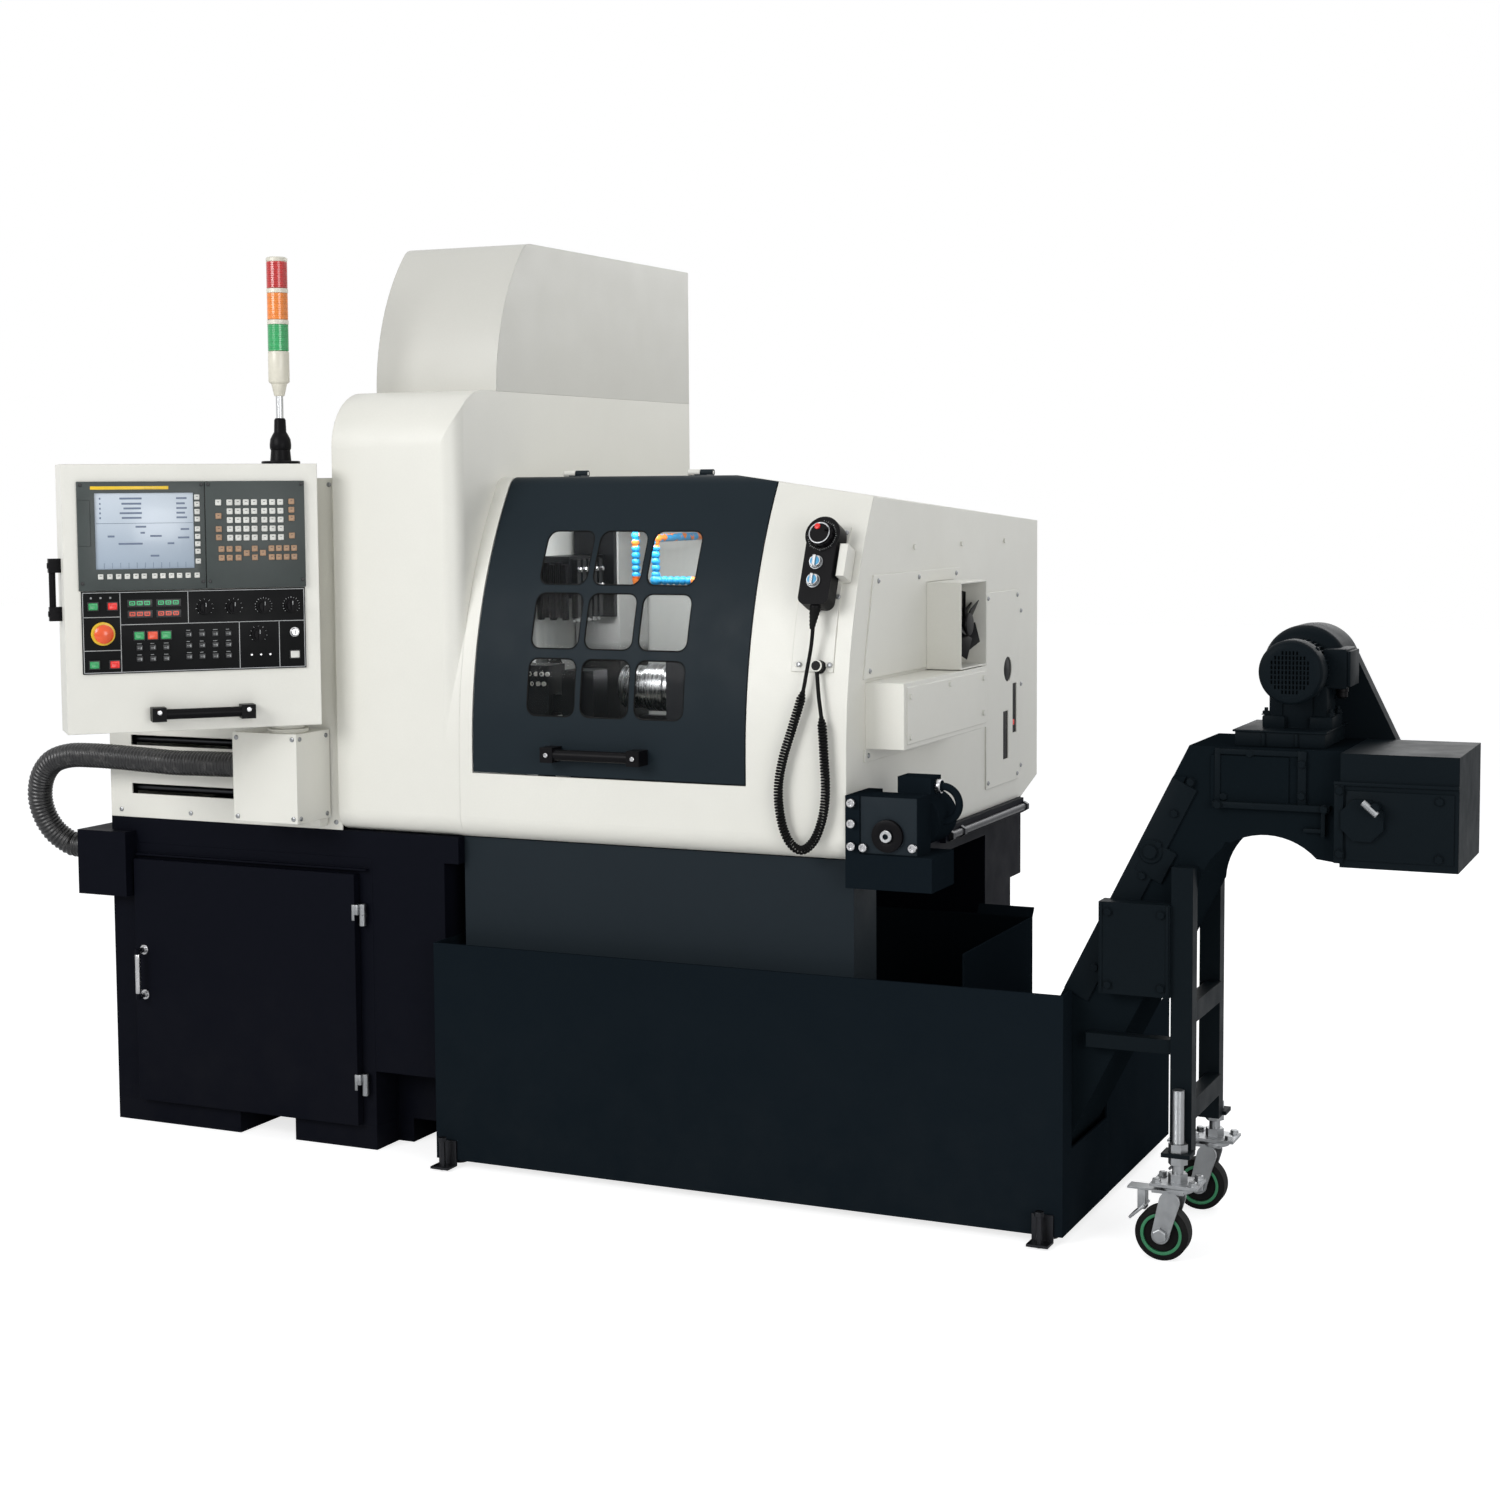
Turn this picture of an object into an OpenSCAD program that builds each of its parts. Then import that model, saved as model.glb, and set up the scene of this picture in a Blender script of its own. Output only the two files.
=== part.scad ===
// Sliding-head turning lathe with swivelling control pendant, lift-up door,
// coolant tank and hinged-belt chip conveyor. Millimetres, +Z up, floor at Z 0.
// Machine axes: X from the body's left end, Y from the cabinet's front plane.

/* [Body] */
// Width of the body over its covers
body_w = 1874; // [1800:1:2000]
// Depth of the body
body_d = 1251; // [1200:1:1400]
// Height of the sill between the base and the covers
sill_h = 723; // [700:1:740]
// Thickness of the cover sheets
sheet = 4; // [3:0.5:6]
// How far the rolled fronts stand out before the cabinet's front plane
front_lip = 14; // [8:1:24]
// Radius of the roll along the bottom of the rolled fronts
roll_r = 50; // [35:1:60]

/* [Base] */
// Thickness of the deck under the covers
deck_t = 60; // [45:1:80]
// Height of the plinths and of the fork pocket between them
plinth_h = 55; // [45:1:70]
// Width of the left plinth
plinth_w = 351; // [300:1:360]
// Width of the fork pocket
fork_pocket_w = 153; // [120:1:180]
// Depth of the rear pedestal
pedestal_d = 400; // [340:1:440]

/* [Electrical cabinet] */
// Width of the cabinet
cabinet_w = 725; // [700:1:760]
// Depth of the cabinet
cabinet_d = 700; // [600:1:760]
// Width of the cabinet door
cabinet_door_w = 612; // [580:1:620]
// Height of the cabinet door
cabinet_door_h = 571; // [540:1:585]
// Thickness of the cabinet door
cabinet_door_t = 20; // [16:1:26]

/* [Left cover and carriage] */
// Width of the left cover
left_w = 648; // [630:1:680]
// Height of the left cover's top
left_top = 1511; // [1450:1:1560]
// Height of the lower slot's middle
slot_low = 791; // [785:1:800]
// Height of the upper slot's middle
slot_high = 905; // [895:1:915]
// Height of a slot
slot_h = 24; // [22:1:28]
// Radius of the carriage's round rails
rail_r = 8; // [6:0.5:10]
// Radial running clearance of shafts, pins and rails
fit = 0.05; // [0.02:0.01:0.1]
// Width of the pendant carriage
carriage_w = 171; // [150:1:200]
// Depth of the pendant carriage before the cover
carriage_d = 126; // [120:1:140]
// Height of the carriage's top
carriage_top = 950; // [940:1:960]

/* [Column and upper cover] */
// Width of the column
column_w = 317; // [300:1:340]
// Height of the column's top
column_top = 1701; // [1650:1:1760]
// Radius of the roll at the column's top front
column_r = 124; // [90:1:130]
// Radius of the column's right front edge
column_edge_r = 45; // [30:1:60]
// Height of the upper cover's top
upper_top = 2039; // [1980:1:2080]
// Set-back of the upper cover's front from the cabinet's front plane
upper_front = 167; // [140:1:200]
// Depth of the upper cover
upper_d = 979; // [900:1:1040]
// Radius of the upper cover's arched front
upper_arc_r = 480; // [440:1:600]
// Radius of the upper cover's top front edge
upper_edge_r = 50; // [35:1:60]

/* [Enclosure and door] */
// Height of the enclosure's roof
roof_h = 1510; // [1490:1:1540]
// Radius of the enclosure's arched front
arc_r = 1016; // [980:1:1080]
// Height at which the arch begins
arc_z = 920; // [900:1:940]
// Radius of the edge between the arch and the roof
roof_edge_r = 40; // [30:1:48]
// Fall of the roof towards the right edge
roof_fall_x = 46; // [30:1:60]
// Fall of the roof's right edge towards the back
roof_fall_y = 66; // [40:1:80]
// Strip between the column and the door
door_side = 35; // [30:1:50]
// Strip between the door and the right side
door_right = 226; // [214:1:244]
// Height of the door's lower edge
door_low = 872; // [866:1:880]
// Depth of the door's flat top behind the roof's rounded edge
door_top = 66.3; // [60:0.1:84]
// Gap round the door
door_gap = 3; // [2:0.5:4]
// Depth of the door's flanges
flange = 22; // [18:1:26]
// Bar between two windows of a row
window_bar = 12; // [9:1:20]
// Corner radius of a window
window_r = 22; // [15:1:30]
// Thickness of the window sheet
pane_t = 5; // [4:0.5:8]

/* [Spindles] */
// Depth of the spindle axis behind the cabinet's front plane
spindle_y = 350; // [346:1:354]
// Height of the spindle axis
spindle_z = 1035; // [1030:1:1045]
// Radius of the main spindle
spindle_r = 45; // [40:1:50]
// Radius of the sub-spindle
sub_r = 48; // [42:1:50]
// Radius of the bar bore
bar_r = 16.5; // [14:0.5:18]

/* [Control pendant] */
// Turn of the pendant towards the operator
pendant_yaw = 46; // [40:1:50]
// Width of the pendant box
pendant_w = 540; // [530:1:560]
// Height of the pendant box
pendant_h = 572; // [560:1:590]
// Depth of the pendant box
pendant_d = 120; // [105:1:122]
// Height of the pendant's lower edge
pendant_low = 970; // [968:1:980]
// Width of the display unit
display_w = 480; // [470:1:490]
// Height of the display unit
display_h = 222; // [216:1:226]

/* [Tank and conveyor] */
// Length of the tank
tank_l = 1428; // [1380:1:1460]
// Depth of the tank
tank_d = 790; // [740:1:820]
// Height of the tank's top
tank_top = 496; // [470:1:520]
// Ground clearance of the tank
tank_clear = 17; // [12:1:25]
// Thickness of the tank's walls
tank_t = 5; // [4:0.5:6]
// Width of the conveyor between its side plates
conveyor_w = 230; // [210:1:260]
// Height of the conveyor head's top
head_top = 987; // [970:1:1000]
// Slope of the conveyor's incline
incline = 63.3; // [61:0.1:65]
// Thickness of the conveyor casing across the incline
casing_t = 145; // [135:1:155]
// Pitch of the hinged belt's slats
slat_pitch = 50; // [45:1:60]
// Radius of a caster wheel
wheel_r = 52; // [48:1:55]
// Radius of the conveyor motor's body
motor_r = 57; // [50:1:60]

/* [Hidden] */
$fn = 64;

// Colours
white_paint = "#E3E1D9";
grey_paint = "#C9C9C2";
navy_paint = "#171C25";
door_paint = "#2B343C";
apron_paint = "#2A323B";
tank_paint = "#18211F";
black_paint = "#141A1C";
black_plastic = "#101012";
panel_grey = "#3B4441";
bright_steel = "#B9BCBE";
zinc = "#A9ACAD";
blue_plastic = "#2F9BD6";
clear_blue = "#9FB4BD";
stop_red = "#E2531B";

// Places along X
column_x0 = left_w;
column_x1 = left_w + column_w;
door_x0 = column_x1 + door_side;
door_w = body_w - door_x0 - door_right;
door_x1 = door_x0 + door_w;
apron_x0 = column_x1 - 15;
tank_x0 = cabinet_w + 188;
tank_x1 = tank_x0 + tank_l;
pedestal_x1 = tank_x0;

// Front outlines
front_y = -front_lip;
arc_cy = front_y + arc_r;
roof_edge_cy = arc_cy - sqrt(pow(arc_r - roof_edge_r, 2) - pow(roof_h - roof_edge_r - arc_z, 2));
roof_tangent_z = arc_z + (roof_h - roof_edge_r - arc_z) * arc_r / (arc_r - roof_edge_r);
upper_edge_z = upper_top - upper_edge_r;
upper_cy = upper_front + upper_arc_r;
upper_edge_cy = upper_cy - sqrt(pow(upper_arc_r - upper_edge_r, 2) - pow(upper_edge_z - column_top, 2));
upper_tangent_z = column_top + (upper_edge_z - column_top) * upper_arc_r / (upper_arc_r - upper_edge_r);
function front_at(z) = arc_cy - sqrt(arc_r * arc_r - pow(max(0, z - arc_z), 2));
function slope_at(z) = asin(max(0, z - arc_z) / arc_r);

// Sloped part of the roof
slope_x0 = 314;
slope_y0 = 145;
slope_y = body_d - slope_y0;
rear_chamfer = [130, 40];
bed_back = body_d - rear_chamfer.x;
column_back = min(upper_front + upper_d, body_d);
roof_turn_y = atan(roof_fall_x / slope_x0);
roof_turn_x = -atan(roof_fall_y / slope_y * cos(roof_turn_y));

// Deck, bed and machining area
deck_z0 = sill_h - deck_t;
deck_front = 30;
liner_back = 640;
liner_x0 = column_x1 + 8;
liner_x1 = body_w - 174;
chute_y0 = 60;
chute_y1 = 430;
bush_r = 41;
bed_x0 = liner_x0 + sheet + 8;
bed_x1 = liner_x1 - 10;
bed_y0 = 450;
bed_y1 = liner_back - 8;
way_w = 25;
way_h = 15;
bed_top = 930;
upright_w = 115;
upright_front = 485;
upright_top = spindle_z + 365;

// Door: window rows as centre and height, and hinge
door_back = roof_edge_cy + door_top;
door_h = roof_h - door_low;
window_x = door_x0 + door_w * 319 / 648;
window_pitch = door_w * 129 / 648;
window_w = window_pitch - window_bar;
window_rows = [for (r = [[188, 125], [329, 120], [463, 116]]) [door_low + door_h * r.x / 638, door_h * r.y / 638]];
hinge_r = 7;
hinge_pin_r = 4;
hinge_y = door_back + 5;
hinge_z = roof_h + hinge_r;
knuckle_l = 30;
hinge_xs = [door_x0 + door_w * 80 / 648, door_x0 + door_w * 390 / 648];

// Cabinet door
cabinet_door_x1 = cabinet_w - 35;
cabinet_door_z0 = plinth_h + 2;
cabinet_hinge = [cabinet_door_x1 + 15, -12];
cabinet_hinge_zs = [126, 512];
cabinet_hinge_l = 49;

// Carriage, swivel and pendant
carriage_x1 = left_w - 28;
carriage_x0 = carriage_x1 - carriage_w;
carriage_y1 = -4;
carriage_y0 = carriage_y1 - carriage_d;
carriage_low = 751;
rail_y = 26;
shoe_l = 40;
shoe_xs = [carriage_x0 + 16, carriage_x1 - 16 - shoe_l];
swivel = [carriage_x1 - 60, carriage_y0 + 55];
swivel_r = 20;
pendant_x1 = 59.6;
pendant_x0 = pendant_x1 - pendant_w;
pendant_face = -81.7;
pendant_top = pendant_low + pendant_h;
display_x0 = pendant_x0 + 30;
display_z1 = pendant_top - 37;
display_z0 = display_z1 - display_h;
display_t = 8;
panel_t = 4;
panel_w = 474;
panel_h = 176;
panel_z0 = display_z0 - 10 - panel_h;
knob_r = 11;
knob_h = 16;
knob_gap = 0.3;
knob_places = [[257, 137], [319, 137], [383, 137], [443, 137], [371, 76]];
stop_place = [43, 86];
stop_ring = 7;
stop_stem_r = 8;
stop_travel = 6;
tower_place = [443, 60];

// Hand-wheel unit
wheel_z = roof_h - 200;
grommet_z = wheel_z - 192;
wheel_x = body_w - 71;
wheel_tilt = slope_at(wheel_z);
wheel_off = 14;
wheel_t = 40;

// Fan and side covers
fan_y0 = 447;
fan_w = 172;
fan_h = 190;
fan_z0 = roof_h - 426;
fan_out = 83;
fan_r = 76;
fan_y = fan_y0 + fan_w / 2;
fan_z = fan_z0 + fan_h / 2;
fan_x = body_w + 45;
pad_t = 3;

// Conveyor outline in X and Z
conveyor_y0 = 15;
plate_t = 5;
conveyor_y1 = conveyor_y0 + conveyor_w + 2 * plate_t;
bay_y1 = conveyor_y1 + 20;
tank_rear_x1 = tank_x0 + tank_l * 0.78;
trough_x0 = tank_x0 + 87;
trough_z0 = 40;
trough_h = 160;
incline_x = tank_x1 - 24;
incline_z = 486;
head_x0 = incline_x + (head_top - incline_z) / tan(incline);
head_x1 = head_x0 + 292;
head_l = 213;
head_low = head_top - 212;
arch_r = 131;
arch_x = head_x0 + 148;
arch_z = head_top - 165 - arch_r;
function upper_x(z) = incline_x + (z - incline_z) / tan(incline);
function lower_x(z) = upper_x(z) + casing_t / sin(incline);
motor_x = head_x0 + 188;
motor_z = head_top + 143;
motor_y0 = 20;
motor_y1 = conveyor_y1;
shaft_x = head_x1 + 42;
shaft_z = head_top - 100;

// Conveyor stand
post = 42;
post_low = 211;
post_x0 = head_x0 - 24;
post_d = 36;
caster_trail = 27;
rod_r = 11;
casters = [[post_x0 + post / 2, conveyor_y0 - post_d - 18],
    [post_x0 + post / 2 - 12, conveyor_y1 + post_d + 18]];

// Cord routes
cord_sides = 10;
hose_r = 29;
hose_route = [[carriage_x0, -70, 868], [400, -70, 868], [320, -70, 867], [240, -70, 866],
    [160, -70, 869], [80, -70, 872], [6, -70, 873], [-60, -69, 870], [-115, -66, 853],
    [-151, -61, 816], [-166, -54, 768], [-162, -44, 722], [-143, -31, 682],
    [-112, -16, 655], [-90, -12, 650], [-70, -12, 650]];
cord_r = 4;
coil_r = 10;
cord_drops = [[0, -11, -90], [-3, -16, -144], [-12, -20, -200], [-19, -26, -244], [-38, -32, -310],
    [-60, -34, -380], [-70, -34, -440], [-65, -34, -500], [-48, -34, -545], [-20, -34, -563],
    [8, -34, -542], [27, -34, -495], [34, -34, -440], [31, -34, -370], [25, -30, -302],
    [16, -24, -250], [8, -14, -200]];
cord_route = [for (d = cord_drops) [wheel_x + d.x, d.y, wheel_z + d.z]];
cord_radii = [for (i = [0:16]) i < 3 || i > 14 ? cord_r : coil_r];

// Reference point: middle of the footprint, without the cords
cable_box_x0 = -70;
head_end = head_x1 + head_l;
pendant_front = swivel.y + pendant_x0 * sin(pendant_yaw) + pendant_face * cos(pendant_yaw);
mid_x = (cable_box_x0 + head_end) / 2;
mid_y = (pendant_front + body_d) / 2;

// Helpers
module placed() {
    translate([-mid_x, -mid_y, 0]) children();
}

module slab(a, b) {
    translate(a) cube(b - a);
}

module rod_x(p, r, l) {
    translate(p) rotate([0, 90, 0]) cylinder(h = l, r = r);
}

module rod_y(p, r, l) {
    translate(p) rotate([-90, 0, 0]) cylinder(h = l, r = r);
}

module rod_z(p, r, l) {
    translate(p) cylinder(h = l, r = r);
}

// A section drawn in Y and Z, run from x0 to x1
module along_x(x0, x1) {
    translate([x0, 0, 0]) rotate([90, 0, 90]) linear_extrude(x1 - x0) children();
}

// A section drawn in X and Z, run from y0 to y1
module along_y(y0, y1) {
    translate([0, y1, 0]) rotate([90, 0, 0]) linear_extrude(y1 - y0) children();
}

module rounded(w, h, r) {
    translate([-w / 2 + r, -h / 2]) square([w - 2 * r, h]);
    translate([-w / 2, -h / 2 + r]) square([w, h - 2 * r]);
    for (x = [-1, 1], y = [-1, 1])
        translate([x * (w / 2 - r), y * (h / 2 - r)]) circle(r);
}

// Two circles with their common outer tangents
module belt_outline(c1, r1, c2, r2) {
    d = c2 - c1;
    lean = acos((r1 - r2) / norm(d));
    dir = atan2(d.y, d.x);
    a = [cos(dir + lean), sin(dir + lean)];
    b = [cos(dir - lean), sin(dir - lean)];
    translate(c1) circle(r1);
    translate(c2) circle(r2);
    polygon([c1 + r1 * a, c1 + r1 * b, c2 + r2 * b, c2 + r2 * a]);
}

// Round tube swept along points
function route_tangent(p, i) =
    let (a = p[max(0, i - 1)], b = p[min(len(p) - 1, i + 1)]) (b - a) / norm(b - a);
function route_ring(p, i, r) =
    let (t = route_tangent(p, i), s = cross(t, [0, 1, 0]), u = s / norm(s), v = cross(u, t))
    [for (k = [0:cord_sides - 1])
        p[i] + r * (cos(360 * k / cord_sides) * u + sin(360 * k / cord_sides) * v)];

module swept(p, radii) {
    n = len(p);
    rings = [for (i = [0:n - 1]) each route_ring(p, i, radii[i])];
    walls = [for (i = [0:n - 2], k = [0:cord_sides - 1])
        let (k2 = (k + 1) % cord_sides, a = i * cord_sides, b = (i + 1) * cord_sides)
        [a + k, a + k2, b + k2, b + k]];
    first = [for (k = [cord_sides - 1:-1:0]) k];
    last = [for (k = [0:cord_sides - 1]) (n - 1) * cord_sides + k];
    polyhedron(points = rings, faces = concat(walls, [first, last]));
}

// Enclosure section, drawn in by i from the outer face
module bottom_roll(i) {
    translate([front_y + roll_r, sill_h + roll_r]) intersection() {
        circle(roll_r - i);
        translate([-roll_r, -roll_r]) square([2 * roll_r, roll_r]);
    }
    translate([front_y + roll_r, sill_h - (i > 0 ? 1 : 0)])
        square([body_d - i - front_y - roll_r, roll_r + (i > 0 ? 1 : 0)]);
}

module skin_outline(i) {
    bottom_roll(i);
    translate([front_y + i, sill_h + roll_r])
        square([body_d - front_y - 2 * i, arc_z - sill_h - roll_r]);
    intersection() {
        translate([arc_cy, arc_z]) circle(arc_r - i, $fn = 360);
        translate([front_y, arc_z]) square([body_d - i - front_y, roof_tangent_z - arc_z]);
    }
    translate([roof_edge_cy, roof_h - roof_edge_r]) circle(roof_edge_r - i);
    translate([roof_edge_cy, arc_z])
        square([body_d - i - roof_edge_cy, roof_h - i - arc_z]);
}

module roof_cut(i) {
    far = 3000;
    translate([body_w, slope_y0, roof_h - roof_fall_x - i]) rotate([roof_turn_x, roof_turn_y, 0])
        translate([-far, -far, 0]) cube([2 * far, 2 * far, far]);
}

module skin_solid(i, x0, x1) {
    difference() {
        along_x(x0, x1) skin_outline(i);
        roof_cut(i);
    }
}

module skin(i, t, x0, x1) {
    difference() {
        skin_solid(i, x0, x1);
        skin_solid(i + t, x0 - 1, x1 + 1);
    }
}

// Machine base
module machine_bed() color(navy_paint) placed() {
    rail_h = 36;
    difference() {
        union() {
            slab([0, deck_front, deck_z0], [column_x1, body_d - 50, sill_h]);
            slab([0, deck_front, deck_z0], [body_w, bed_back, sill_h]);
            slab([0, 0, deck_z0], [apron_x0, deck_front, sill_h]);
            slab([0, cabinet_d, plinth_h], [cabinet_w, bed_back, deck_z0]);
            slab([cabinet_w, 0, 180], [pedestal_x1, bed_back, deck_z0]);
            slab([cabinet_w, 90, plinth_h], [pedestal_x1, bed_back, 180]);
            slab([pedestal_x1, body_d - pedestal_d, 0], [body_w, bed_back - 80, deck_z0]);
            slab([pedestal_x1, body_d - pedestal_d, deck_z0 - 130], [body_w, bed_back, deck_z0]);
            slab([0, 0, 0], [plinth_w, bed_back, plinth_h]);
            slab([plinth_w + fork_pocket_w, 0, 0], [cabinet_w, bed_back, plinth_h]);
            slab([cabinet_w - 1, 90, 0], [cabinet_w + 40, bed_back, plinth_h]);
            slab([body_w, 540, sill_h - rail_h], [body_w + 14, bed_back - 20, sill_h]);
        }
        slab([door_x0 + 20, chute_y0, deck_z0 - 1], [door_x1 - 8, chute_y1, sill_h + 1]);
    }
}

module cabinet_hinge_pin(z) {
    rod_z([cabinet_hinge.x, cabinet_hinge.y, z], hinge_r, cabinet_hinge_l / 2 - 0.3);
    rod_z([cabinet_hinge.x, cabinet_hinge.y, z], hinge_pin_r, cabinet_hinge_l);
    slab([cabinet_hinge.x, cabinet_hinge.y, z], [cabinet_hinge.x + 6, 0, z + cabinet_hinge_l / 2 - 0.3]);
}

module cabinet_shell() color(navy_paint) placed() {
    rim = 34;
    gutter = 14;
    door_z1 = cabinet_door_z0 + cabinet_door_h;
    difference() {
        slab([0, 0, plinth_h], [cabinet_w, cabinet_d, deck_z0]);
        slab([sheet, sheet, plinth_h + sheet], [cabinet_w - sheet, cabinet_d - sheet, deck_z0 - sheet]);
        slab([cabinet_door_x1 - cabinet_door_w + rim, -1, cabinet_door_z0 + rim],
            [cabinet_door_x1 - rim, sheet + 1, door_z1 - rim]);
    }
    slab([78, -gutter, door_z1 + 8], [cabinet_w - 8, 0, door_z1 + 12]);
    for (z = cabinet_hinge_zs) cabinet_hinge_pin(z);
}

module cabinet_gear() color(grey_paint) placed() {
    back = cabinet_d - sheet;
    mount_y = back - 12;
    mount_t = 3;
    drive_w = 62;
    drive_h = 260;
    drive_d = 150;
    slab([60, mount_y, plinth_h + 40], [cabinet_w - 60, mount_y + mount_t, deck_z0 - 40]);
    for (x = [80, cabinet_w - 90]) slab([x, mount_y + mount_t, plinth_h + 60], [x + 10, back, deck_z0 - 60]);
    for (i = [0:4]) {
        x = 100 + i * (drive_w + 8);
        slab([x, mount_y - drive_d, 330], [x + drive_w, mount_y, 330 + drive_h]);
    }
    for (z = [280, 600]) slab([90, mount_y - 50, z], [cabinet_w - 90, mount_y, z + 30]);
    for (i = [0:6]) {
        x = 100 + i * 50;
        slab([x, mount_y - 70, 165], [x + 42, mount_y, 250]);
    }
    slab([490, mount_y - 110, 120], [620, mount_y, 260]);
}

module cable_box() color(navy_paint) placed() {
    front = -40;
    slab([cable_box_x0, front, 540], [70, 0, 692]);
    slab([cable_box_x0, 0, 540], [0, 110, 692]);
}

module levelling_bolt(p, h) {
    rod_z(p, 22, 8);
    rod_z(p, 8, h);
    translate(p + [0, 0, 16]) cylinder(h = 10, r = 13, $fn = 6);
}

module tank_foot(p, dir) {
    slab(p + [-22, min(0, 40 * dir), 4], p + [22, max(0, 40 * dir), 9]);
    slab(p + [-22, min(0, 4 * dir), 9], p + [22, max(0, 4 * dir), 60]);
    rod_z(p + [0, 24 * dir, 0], 6, 72);
    translate(p + [0, 24 * dir, 62]) cylinder(h = 10, r = 10, $fn = 6);
}

module levelling_feet() color(zinc) placed() {
    for (y = [150, body_d - pedestal_d - 60])
        levelling_bolt([(cabinet_w + pedestal_x1) / 2, y, 0], plinth_h);
    for (x = [tank_x0 + 30, tank_x1 - 40]) {
        tank_foot([x, -50, 0], -1);
        rod_z([x, 0, 0], 16, tank_clear);
    }
    for (x = [tank_x0 + 30, tank_rear_x1 - 40]) {
        tank_foot([x, tank_d - 50, 0], 1);
        rod_z([x, tank_d - 100, 0], 16, tank_clear);
    }
}

// Covers on the left
module left_cover() color(white_paint) placed() {
    difference() {
        slab([0, 0, sill_h], [left_w, body_d - 50, left_top]);
        slab([sheet, sheet, sill_h - 1], [left_w + 1, body_d - 50 - sheet, left_top - sheet]);
        slab([62, -1, slot_low - slot_h / 2], [carriage_x1 - 8, sheet + 1, slot_low + slot_h / 2]);
        slab([62, -1, slot_high - slot_h / 2], [carriage_x1 - 8, sheet + 1, slot_high + slot_h / 2]);
        rod_x([-1, spindle_y, spindle_z], 2 * bar_r, sheet + 2);
    }
}

module carriage_rail() color(black_paint) placed() {
    end_t = 16;
    for (z = [slot_low, slot_high])
        rod_x([30, rail_y, z], rail_r, carriage_x1 - 15);
    for (x = [30, carriage_x1 - 1])
        slab([x, sheet, slot_low - 22], [x + end_t, rail_y + 14, slot_high + 22]);
}

module column_outline(i) {
    bottom_roll(i);
    translate([front_y + i, sill_h + roll_r])
        square([column_back - front_y - 2 * i, column_top - column_r - sill_h - roll_r]);
    translate([front_y + column_r, column_top - column_r]) circle(column_r - i);
    translate([front_y + column_r, column_top - column_r - 1])
        square([column_back - i - front_y - column_r, column_r - i + 1]);
}

module column_solid(i, x0, x1) {
    proud = 0.6;
    edge_x = x1 + i - column_edge_r + proud;
    edge_y = front_y + column_edge_r - proud;
    intersection() {
        along_x(x0, x1) column_outline(i);
        translate([0, 0, sill_h - 2]) linear_extrude(column_top - sill_h + 3) {
            translate([x0 - 1, front_y + i - proud]) square([edge_x - x0 + 1, body_d]);
            translate([x0 - 1, edge_y]) square([x1 - x0 + 2, body_d]);
            translate([edge_x, edge_y]) circle(column_edge_r - i);
        }
    }
    skin_solid(i, x1 - column_edge_r - 10, x1);
}

module column_cover() color(white_paint) placed() {
    bush_hole_r = 60;
    difference() {
        column_solid(0, column_x0, column_x1);
        column_solid(sheet, column_x0 + sheet, column_x1 - sheet);
        slab([column_x0 - 1, spindle_y - 150, sill_h - 1], [column_x0 + sheet + 1, spindle_y + 150, spindle_z + 165]);
        rod_x([column_x1 - sheet - 1, spindle_y, spindle_z], bush_hole_r, sheet + 2);
        slab([column_x0 + 60, upper_front + 80, column_top - sheet - 1],
            [column_x1 - 60, upper_front + upper_d - 80, column_top + 1]);
    }
}

module upper_outline(i) {
    low = column_top - (i > 0 ? 1 : 0);
    intersection() {
        translate([upper_cy, column_top]) circle(upper_arc_r - i, $fn = 240);
        translate([upper_front, low]) square([upper_arc_r, upper_tangent_z - low]);
    }
    translate([upper_edge_cy, upper_edge_z]) circle(upper_edge_r - i);
    translate([upper_edge_cy, low])
        square([upper_front + upper_d - i - upper_edge_cy, upper_top - i - low]);
}

module upper_cover() color(white_paint) placed() {
    difference() {
        along_x(column_x0 + 2, column_x1) upper_outline(0);
        along_x(column_x0 + 2 + sheet, column_x1 - sheet) upper_outline(sheet);
    }
}

// Curved enclosure
module enclosure() color(white_paint) placed() {
    difference() {
        union() {
            skin(0, sheet, column_x1, body_w);
            skin_solid(0, body_w - sheet, body_w);
        }
        slab([door_x0 - door_gap, front_y - 40, door_low - door_gap],
            [door_x1 + door_gap, hinge_y + door_gap, roof_h + 1]);
        along_x(column_x1 - 1, body_w + 1) polygon([[body_d + 1, sill_h - 1],
            [body_d + 1, sill_h + rear_chamfer.y], [body_d - rear_chamfer.x, sill_h - 1]]);
        slab([fan_x - 60, fan_y0 + 20, fan_z0 + 20], [body_w + 1, fan_y0 + fan_w - 20, fan_z0 + fan_h - 20]);
    }
    for (x = hinge_xs) {
        rod_x([x, hinge_y, hinge_z], hinge_r, knuckle_l - 0.3);
        rod_x([x, hinge_y, hinge_z], hinge_pin_r, 2 * knuckle_l);
        slab([x, hinge_y, roof_h - sheet], [x + knuckle_l - 0.3, hinge_y + 35, roof_h + 3]);
    }
}

module chamber_liner() color(grey_paint) placed() {
    clear = 34;
    difference() {
        intersection() {
            skin_solid(clear, liner_x0, liner_x1);
            slab([liner_x0, chute_y0 - 40, sill_h], [liner_x1, liner_back + sheet, roof_h]);
        }
        slab([liner_x0 + sheet, -100, sill_h - 1], [liner_x1 - sheet, liner_back, roof_h]);
        slab([liner_x0 - 1, spindle_y - bush_r, sill_h - 1], [liner_x0 + sheet + 1, spindle_y + bush_r, spindle_z + bush_r]);
    }
}

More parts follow.
